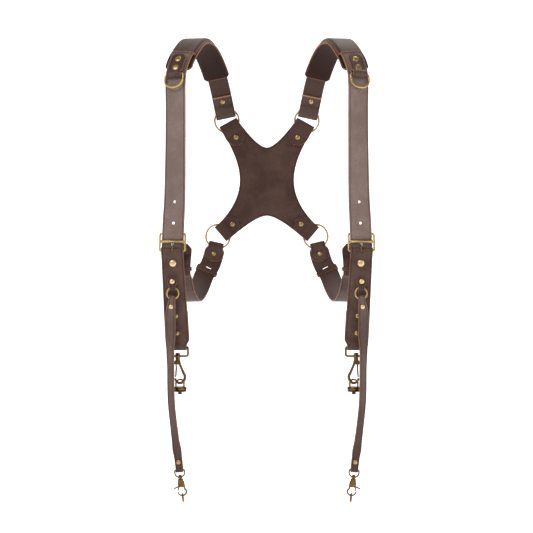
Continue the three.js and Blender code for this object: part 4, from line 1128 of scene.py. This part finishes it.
def keeper(place, half):
    """A plain leather loop round the side strap."""
    r = 1.2
    a, b = (size / 2 + gap + keeper_thick / 2 - r for size in (strap_width, strap_thick))
    corners = [(a, b), (-a, b), (-a, -b), (a, -b)]
    loop = np.array([point for i, (x, y) in enumerate(corners)
                     for point in arc(x, y, r, r, 90 * i, 90 * i + 90, 6)])
    ahead = np.roll(loop, -1, 0) - np.roll(loop, 1, 0)
    normal = np.stack([ahead[:, 1], -ahead[:, 0]], 1) / np.linalg.norm(ahead, axis=1)[:, None]
    w, e = keeper_thick / 2, 0.4
    section = [(-half, -w + e, 1), (-half, w - e, 1), (-half + e, w, 0.2), (-half + 3 * e, w, 0),
               (half - 3 * e, w, 0), (half - e, w, 0.2), (half, w - e, 1), (half, -w + e, 1),
               (half - e, -w, 0), (e - half, -w, 0)]
    layers = []
    for u, lift, _ in section:
        p, _, across, out = (row[0] for row in side.at(place + u))
        layers.append([p + across * x + out * y for x, y in loop + normal * lift])
    points, faces = skin(np.array(layers).transpose(1, 0, 2), True)
    marks = {"rim": np.tile([row[2] for row in section], len(loop)),
             "edge": np.full(len(points), float(far_from_edge))}
    return Shape(points, faces, marks)


for name, place, half in [("side_keeper", side_keeper_place, 4), ("front_keeper", front_keeper_place, 3)]:
    both(name, keeper(place, half), dark_and_shaded_leather, nodes=[name])


# Drop straps: one strip of the front leather, folded over the buckle's bottom bar and round the
# swivel frame, its two layers closed by the large rivet above and two small ones below.
drop_length = 139
drop_shift = 8
drop_top_width = 32.4
drop_low_width = 35
drop_neck = 26
inner_layer = 52
large_rivet_fall = 18
slot_width = 3.2
slot_length = 8
slot_rise = 2
drop = Course([(bottom_bar[0] + drop_shift * share, bottom_bar[1], bottom_bar[2] - drop_length * share, 0, 0)
               for share in (0, 0.5, 1)], rightward)
drop_end = drop.length
drop_strap = ribbon(drop, [
    [34, -drop_layer, drop_top_width],
    *ease(14, -drop_layer, drop_top_width, 3, -fold_radius, drop_top_width),
    *fold(0, 0, fold_radius, -1, -1, drop_top_width),
    *ease(3, fold_radius, drop_top_width, 14, drop_layer, drop_top_width),
    [drop_end - 15, drop_layer, drop_low_width],
    [drop_end - 9, 0.62 * fold_radius, drop_low_width - 0.6],
    [drop_end - 2.6, fold_radius, drop_neck],
    *fold(drop_end, 0, fold_radius, 1, 1, drop_neck),
    [drop_end - 2.6, -fold_radius, drop_neck],
    [drop_end - 9, -0.62 * fold_radius, drop_low_width - 0.6],
    [drop_end - 15, -drop_layer, drop_low_width], [drop_end - inner_layer, -drop_layer, drop_low_width],
], strap_thick)
# The drop strap is drawn in the darker copy of the front leather: painted shade.
drop_straps = both("drop_strap", drop_strap, shaded_drop_leather, nodes=["drop_strap"])
pierce(drop_straps, slot_cutter(drop.frame(-slot_rise), slot_width, slot_length, 2 * fold_radius))
drop_rivets = [rivet(drop.frame(drop_end - inner_layer + s, 0, 0, -1), drop_face, -drop_face, small_head)
               for s in (7, 32)]
soft_brass = cast_brass("soft_brass", (0.78, 0.58, 0.34), (0.42, 0.26, 0.12), rough=0.42, stain=0.3)
# The two small drop rivets take the darker aged brass instead of the large rivet's soft brass: painted shade
# for the shade they sit in.
both("drop_rivets", drop_rivets[0] + drop_rivets[1], aged_and_shaded_brass, nodes=["drop_strap"])
side_back = -(keeper_y + strap_thick / 2 - bottom_bar[1])
large_rivet = rivet(
    drop.frame(large_rivet_fall, 0, 0, -1), drop_face, side_back - gap, large_head, small_head)
both("drop_rivet", large_rivet, soft_brass, nodes=["drop_rivet"])
drop_seam = stitches(drop, 10, drop_end - 16, [drop_face - 0.3], [(-13.8, -15.1), (13.8, 15.1)])
both("drop_stitching", drop_seam, thread)


# Leashes: a small riveted tab on the drop strap, its ring, and a thin 2 mm tether that falls before
# the camera hook and turns on its way to the clasp.
leash_wire = 2.5
leash_radius = 8.5
leash_neck = 9
leash_width = 14.4
leash_drop = 43
leash_shift = -2.2
leash_fold = leash_wire / 2 + gap + fold_slack + tab_thick / 2
leash_back = drop_face + gap + tab_thick / 2
leash_plane = leash_back + leash_fold
leash_fall = ring_fall(leash_radius, leash_neck, leash_wire)
leash_reach = leash_fall + leash_wire / 2 + gap + fold_slack
leash_bend = leash_radius - leash_fall
leash_centre = leash_drop + 18.4
leash_turn = leash_centre - leash_bend
leash_throat = leash_turn - leash_reach
leash_front = leash_back + tab_thick + gap
leash_tip = leash_drop - 5
leash_tab = ribbon(drop, [
    [leash_drop - 3, leash_back, leash_width - 3], [leash_throat - 4, leash_back, leash_width],
    [leash_throat, leash_back, leash_neck],
    *fold(leash_turn, leash_plane, leash_fold, 1, -1, leash_neck),
    *ease(leash_throat + 1, leash_plane + leash_fold, leash_neck, leash_throat - 5, leash_front, leash_width),
    [leash_tip + tip_share * leash_width, leash_front, leash_width],
    *round_end(leash_tip, -1, leash_front, leash_width),
], tab_thick, leash_shift, step=0.7)
both("leash_tab", leash_tab, shaded_drop_leather, nodes=["leash_tab"])
leash_rivet = rivet(drop.frame(leash_drop + 1.5, 0, leash_shift, -1), leash_front + tab_thick / 2, drop_face,
                    7.6, back_head)
both("leash_rivet", leash_rivet, soft_brass, nodes=["leash_tab"])
leash_middle = drop.at(leash_centre)[0][0] + [leash_shift, -leash_plane, 0]
both("leash_ring", round_ring(*leash_middle, leash_radius, leash_wire), brass, nodes=["leash_ring"])

tether_width = 15
tether_low_width = 11
tether_fall = 254
eye_wire = 2.2
tether_sweep = [
    # inward from the ring, forward, down as a share of tether_fall, turn
    (0, 0, 0, 0), (-3, 0.5, 0.117, 0), (-3, 2.5, 0.24, 0), (-3, 4.5, 0.31, 36), (-2.4, 4.5, 0.42, 45),
    (-2.1, 4.5, 0.55, 45), (-1.2, 4.5, 0.63, 45), (1.4, 4.5, 0.73, 45), (4.9, 4.5, 0.84, 40),
    (8.4, 4.5, 0.935, 10), (10, 4.5, 1, 0),
]
tether = Course([
    (leash_middle[0] + inward, leash_middle[1] - leash_fold - forward, leash_middle[2] - down * tether_fall,
     0, turn) for inward, forward, down, turn in tether_sweep])
tether_layer = -(tab_thick + gap)
throat = leash_bend + leash_reach
eye_fold = eye_wire / 2 + gap + fold_slack + tab_thick / 2
tether_end = tether.length
tether_strap = ribbon(tether, [
    [throat + 14, tether_layer, tether_width - 1.5],
    *ease(throat + 5, tether_layer, 12.5, throat - 1, -2 * leash_fold, leash_neck + 1.5),
    *fold(leash_bend, -leash_fold, leash_fold, -1, -1, leash_neck),
    *ease(throat - 2, 0, leash_neck + 1.2, throat + 20, 0, tether_width),
    [tether_end - 30, 0, tether_width], [tether_end - 18, 0, tether_low_width + 1],
    [tether_end - 6, 0, tether_low_width],
    *fold(tether_end, -eye_fold, eye_fold, 1, 1, tether_low_width),
    *ease(tether_end - 2, -2 * eye_fold, tether_low_width, tether_end - 8, tether_layer, tether_low_width),
    [tether_end - 17, tether_layer, tether_low_width],
], tab_thick, step=1.0)
# From 150 mm along, down the tether, the grain darkens: painted shade.
tether_leather = tanned(
    "tether_leather", (0.096, 0.062, 0.050), (0.144, 0.098, 0.081), (0.058, 0.031, 0.024),
    (0.26, 0.115, 0.07), darker_from=150)
both("tether_strap", tether_strap, tether_leather, nodes=["tether_strap"])
for name, place, metal in [
    ("tether_top_rivet", throat + 9, soft_brass),
    ("tether_low_rivet", tether_end - 11.5, aged_and_shaded_brass),
]:
    tether_rivet = rivet(tether.frame(place, 0, 0, -1), tab_thick / 2, tether_layer - tab_thick / 2,
                         0.9 * small_head, post=3)
    both(name, tether_rivet, metal, nodes=["tether_strap"])


# Swivels and snap hooks: antique brass castings. The loop sits in the drop strap's end with a boss
# in its lower bar; the hook's stem turns in the boss and a sprung gate closes its mouth.
swivel_width = 32.7
swivel_height = 15
swivel_wire = 3
hook_wire = 4
hook_length = 36
hook_width = 17
boss_height = 5.5
boss_half = 4
stem_diameter = 3.4
pin_diameter = 1.8
pin_bore = pin_diameter / 2 + gap
hang = np.eye(4)
hang[:3, 3] = drop.at(drop_end)[0][0]
swivel_low = swivel_wire / 2 - swivel_height
neck_top = swivel_low - boss_height / 2 - gap
gate_pivot = (-2.6, neck_top - 6.5)
hook_low = neck_top - hook_length
gate_low = hook_low + 8.6


def lifted(shape, x, z):
    """The same shape, shifted in its own XZ plane."""
    shape.points += (x, 0, z)
    return shape


def pin(x, z, diameter, length):
    """A cross pin along Y with slightly domed ends."""
    r, half = diameter / 2, length / 2
    rows = [(0, -half - 0.2), (r * 0.7, -half - 0.1), (r, -half + 0.25),
            (r, half - 0.25), (r * 0.7, half + 0.1), (0, half + 0.2)]
    return lifted(lathe(rows, 24).moved(outward), x, z)


def soft_slab(points, y0, y1, round_edge=0.5, steps=6):
    """A casting's flat part: a closed smooth outline in XZ with rounded edges."""
    points = np.array(points, float)
    count = len(points)
    loop = []
    for i in range(count):
        loop += onward(*(points[(i + k) % count] for k in (-1, 0, 1, 2)), steps)
    half, e = (y1 - y0) / 2, round_edge
    rows = [(1.6 * e, -half, 0), (e, -half, 0), (0.3 * e, -half + 0.3 * e, 0), (0, -half + e, 0),
            (0, half - e, 0), (0.3 * e, half - 0.3 * e, 0), (e, half, 0), (1.6 * e, half, 0)]
    shape = slab(loop, rows)
    shape.points[:, 1] += (y0 + y1) / 2
    return shape


def cheeks(outline, inner, outer):
    """The same flat cheek before and behind a slot."""
    return soft_slab(outline, -outer, -inner) + soft_slab(outline, inner, outer)


def cast(name, shape, place, body):
    """One antique brass casting on each side, on its own moving body."""
    both(name, shape.moved(place), old_brass, body, [name])


old_brass = cast_brass("old_brass", (0.18, 0.105, 0.037), (0.040, 0.020, 0.008), rough=0.36, stain=0.9)
boss = tube(stem_diameter / 2 + gap, boss_half, boss_height, ease_edge=0.6)
swivel = wire_path(frame_loop(swivel_width - swivel_wire, -swivel_low, 2.2), swivel_wire, sides=16)
swivel = swivel + lifted(boss, 0, swivel_low)
cast("swivel_frame", swivel, hang, "swivel")

boss_top = swivel_low + boss_height / 2 + gap
stem = turned((3.0, boss_top + 1.8), (3.3, boss_top + 1.3), (3.3, boss_top), (stem_diameter / 2, boss_top),
              (stem_diameter / 2, neck_top), (3.2, neck_top), (3.5, neck_top - 0.5), (3.5, neck_top - 1.9),
              (2.6, neck_top - 2.8), (1.5, neck_top - 4))
hook_reach = 0.62 * hook_width
hook_points = [
    (1.6, neck_top - 3), (3.0, neck_top - 8.5), (5.4, neck_top - 14.5), (8.0, neck_top - 20.5),
    (hook_reach - 0.2, neck_top - 26), (hook_reach - 1.0, hook_low + 4.4), (6.4, hook_low + 0.9),
    (2.6, hook_low), (-0.9, hook_low + 1.6), (-3, hook_low + 4.6), (-3.2, hook_low + 7),
]
hook_taper = hook_wire * np.array([1.0, 0.95, 0.92, 0.95, 1.0, 1.05, 1.05, 1.0, 0.95, 0.85, 0.7])
bow_of_hook = wire_path(eased(hook_points, 12), hook_taper, closed=False, sides=18, step=0.5)
cheek = [(-4.4, neck_top - 8.6), (-5.0, neck_top - 6), (-3.8, neck_top - 3.4), (-0.6, neck_top - 2.4),
         (2.2, neck_top - 2.8), (3.2, neck_top - 5.6), (2.8, neck_top - 8.4), (-0.6, neck_top - 9.2)]
spine = [(0.6, neck_top - 8.4), (0.6, neck_top - 4), (2.4, neck_top - 3), (3.0, neck_top - 5.6),
         (3.0, neck_top - 8.8)]
bridge = [(-3.6, neck_top - 3.7), (-3.2, neck_top - 2.7), (2, neck_top - 2.4), (2, neck_top - 3.8)]
hook = stem + bow_of_hook + cheeks(cheek, 1.4, 3.2)
hook = hook + soft_slab(spine, -2.8, 2.8) + soft_slab(bridge, -2.6, 2.6, round_edge=0.3)
hook = hook + pin(*gate_pivot, pin_diameter, 6.8)
cast("snap_hook", hook, hang, "hook")
gate_fall = gate_low - gate_pivot[1]
gate_line = [(0, -1.6), (0.7, -7), (-0.2, gate_fall + 3), (-0.6, gate_fall)]
gate = tube(pin_bore, 2.2, 2.2, ease_edge=0.25).moved(outward)
gate = gate + wire_path(gate_line, [2.0, 2.4, 2.4, 2.2], closed=False, step=0.5)
cast("hook_gate", lifted(gate, *gate_pivot), hang, "gate")


# Camera screws: a quarter inch screw under a knurled disc, hung on the hook by its folding bail,
# with a black rubber washer under the disc.
screw_turn = turned_by(40, "Z")
screw_turn[:3, 3] = (3.2, 0, 0)
disc_diameter = 19
disc_thick = 5
screw_diameter = 6.35
screw_length = 5.4
washer_thick = 1.6
bail_top = hook_low + hook_wire / 2 + 1.25 + 6 * gap
disc_top = hook_low - 5.3
disc_low = disc_top - disc_thick
bail_half = 7.2
bail_rise = 4.25
bail_wire = 2.5
bail_line = [(-bail_half, disc_top - 1), (-bail_half, disc_top + 1.5),
             *arc(0, bail_top - bail_rise, bail_half, bail_rise, 180, 0, 8),
             (bail_half, disc_top + 1.5), (bail_half, disc_top - 1)]
bail = wire_path(eased(bail_line, 5), bail_wire, closed=False, step=0.5)
disc_half = disc_diameter / 2
disc_rows = [(disc_half - 1.4, disc_low), (disc_half - 0.5, disc_low + 0.3), (disc_half, disc_low + 0.9),
             (disc_half, disc_top - 0.9), (disc_half - 0.5, disc_top - 0.3), (disc_half - 1.4, disc_top),
             (disc_half - 2.4, disc_top), (disc_half - 3.0, disc_top - 0.5), (2.0, disc_top - 0.5)]
disc = turned(*disc_rows, sides=96)
knurl_depth = 0.45
from_axis = np.hypot(disc.points[:, 0], disc.points[:, 1])
knurl = (from_axis > disc_half - 0.05) & (np.arange(len(disc.points)) % 2 == 0)
disc.points[knurl, :2] *= 1 - knurl_depth / disc_half
screw_pitch = 1.05
screw_half = screw_diameter / 2
screw_tip = disc_low - screw_length
screw_rows = [(2.4, disc_low + 0.2)]
crest = disc_low
while crest > screw_tip - 0.2:
    screw_rows += [(screw_half - 0.7, crest), (screw_half - 0.08, crest - 0.45),
                   (screw_half - 0.08, crest - 0.6)]
    crest -= screw_pitch
screw_rows += [(screw_half - 0.9, screw_tip - 0.5)]
screw = bail + disc + turned(*screw_rows[::-1], sides=32)
cast("camera_screw", screw.moved(screw_turn), hang, "hook")
rubber = Finish("rubber")
speckle = rubber.noise(700, 4, 0.6)
black_rubber = rubber.done(
    Base_Color=rubber.blend(speckle, (0.012, 0.012, 0.012), (0.03, 0.03, 0.03)), Roughness=0.75,
    Normal=rubber.bump(speckle, 0.3, 0.0002))
washer = tube(screw_half + gap, disc_half, washer_thick, ease_edge=0.3, sides=64)
washer = lifted(washer, 0, disc_low - gap - washer_thick / 2).moved(screw_turn).moved(hang)
both("screw_washer", washer, black_rubber, "hook", ["screw_washer"])


# Clasps: a lobster clasp at each tether's end. Its eye hangs in the tether's fold, its body turns
# in the eye's collar, and a sprung lever opens the mouth; a small ring hangs in the loop.
eye_width = 16.4
eye_height = 13
clasp_wire = 2.5
clasp_place = tether.frame(tether.length, -eye_fold, 0, -1)
eye_low = eye_wire - eye_height
clasp_top = eye_low - 2
trigger_pivot = (0, clasp_top - 7.6)
eye_loop = wire_path(d_loop(eye_width - eye_wire, -eye_low, 1.8), eye_wire)
eye_loop = eye_loop + lifted(tube(1.4, 3.2, 3.4, ease_edge=0.5), 0, eye_low)
cast("clasp_eye", eye_loop, clasp_place, "eye")

clasp_width = 14.6
mouth_half = (clasp_width - clasp_wire) / 2
mouth_rise = mouth_half * 0.87
loop_middle = trigger_pivot[1] - 11.6
clasp_stem = turned((1.1, clasp_top - 1), (1.1, eye_low + 1.9), (2.3, eye_low + 1.9), (2.3, eye_low + 3.1),
                    (1.5, eye_low + 3.7))
barrel = turned((2.6, clasp_top - 4.6), (3.7, clasp_top - 3.8), (4.0, clasp_top - 3.0),
                (4.0, clasp_top - 1.2), (3.6, clasp_top - 0.5), (2.6, clasp_top - 0.3))
clasp_line = [(3.4, clasp_top - 4), (4.0, trigger_pivot[1] - 1), (4.6, trigger_pivot[1] - 5),
              *arc(1, loop_middle, mouth_half, mouth_rise, 50, -188, 9)]
clasp_taper = clasp_wire * np.array([1.3, 1.25, 1.1, 1.0, 1.0, 1.0, 1.0, 0.95, 0.85, 0.7])
clasp_hook = wire_path(eased(clasp_line, 6), clasp_taper, closed=False, sides=16, step=0.4)
shield = [(-4.2, clasp_top - 9), (-4.6, clasp_top - 6), (-3.6, clasp_top - 3.8), (0, clasp_top - 3.4),
          (3.8, clasp_top - 3.8), (4.6, clasp_top - 7), (4.5, clasp_top - 12), (2, clasp_top - 12.4),
          (-2.5, clasp_top - 11.6)]
back_bone = [(3.3, clasp_top - 4.4), (4.4, clasp_top - 6), (4.6, clasp_top - 12), (3.4, clasp_top - 12)]
clasp = clasp_stem + barrel + clasp_hook + cheeks(shield, 1.35, 3)
clasp = clasp + soft_slab(back_bone, -2.4, 2.4, round_edge=0.3) + pin(*trigger_pivot, pin_diameter, 7.2)
cast("clasp_body", clasp, clasp_place, "clasp")
trigger = tube(pin_bore, 2.7, 2.1, ease_edge=0.25).moved(outward)
lever = eased([(-1.9, -1.4), (-5, -4), (-8.4, -5.4), (-11.1, -6)])
latch = eased([(-1.4, -2.1), (-3.9, -6), (-5, -9.6)])
trigger = trigger + wire_path(lever, [2.1, 2.1, 2.2, 2.0], closed=False)
trigger = trigger + wire_path(latch, [2.1, 2.1, 1.8], closed=False)
cast("clasp_trigger", lifted(trigger, *trigger_pivot), clasp_place, "trigger")
small_wire = 2.2
small_radius = 6
small_ring_top = loop_middle - mouth_rise + clasp_wire / 2 + gap + small_wire / 2
small_ring = wire_path(arc(0, 0, small_radius, small_radius, 0, 360, 60)[:-1], small_wire)
small_ring = lifted(small_ring.moved(turned_by(90, "Z")), 1, small_ring_top - small_radius)
cast("clasp_ring", small_ring, clasp_place, "clasp")
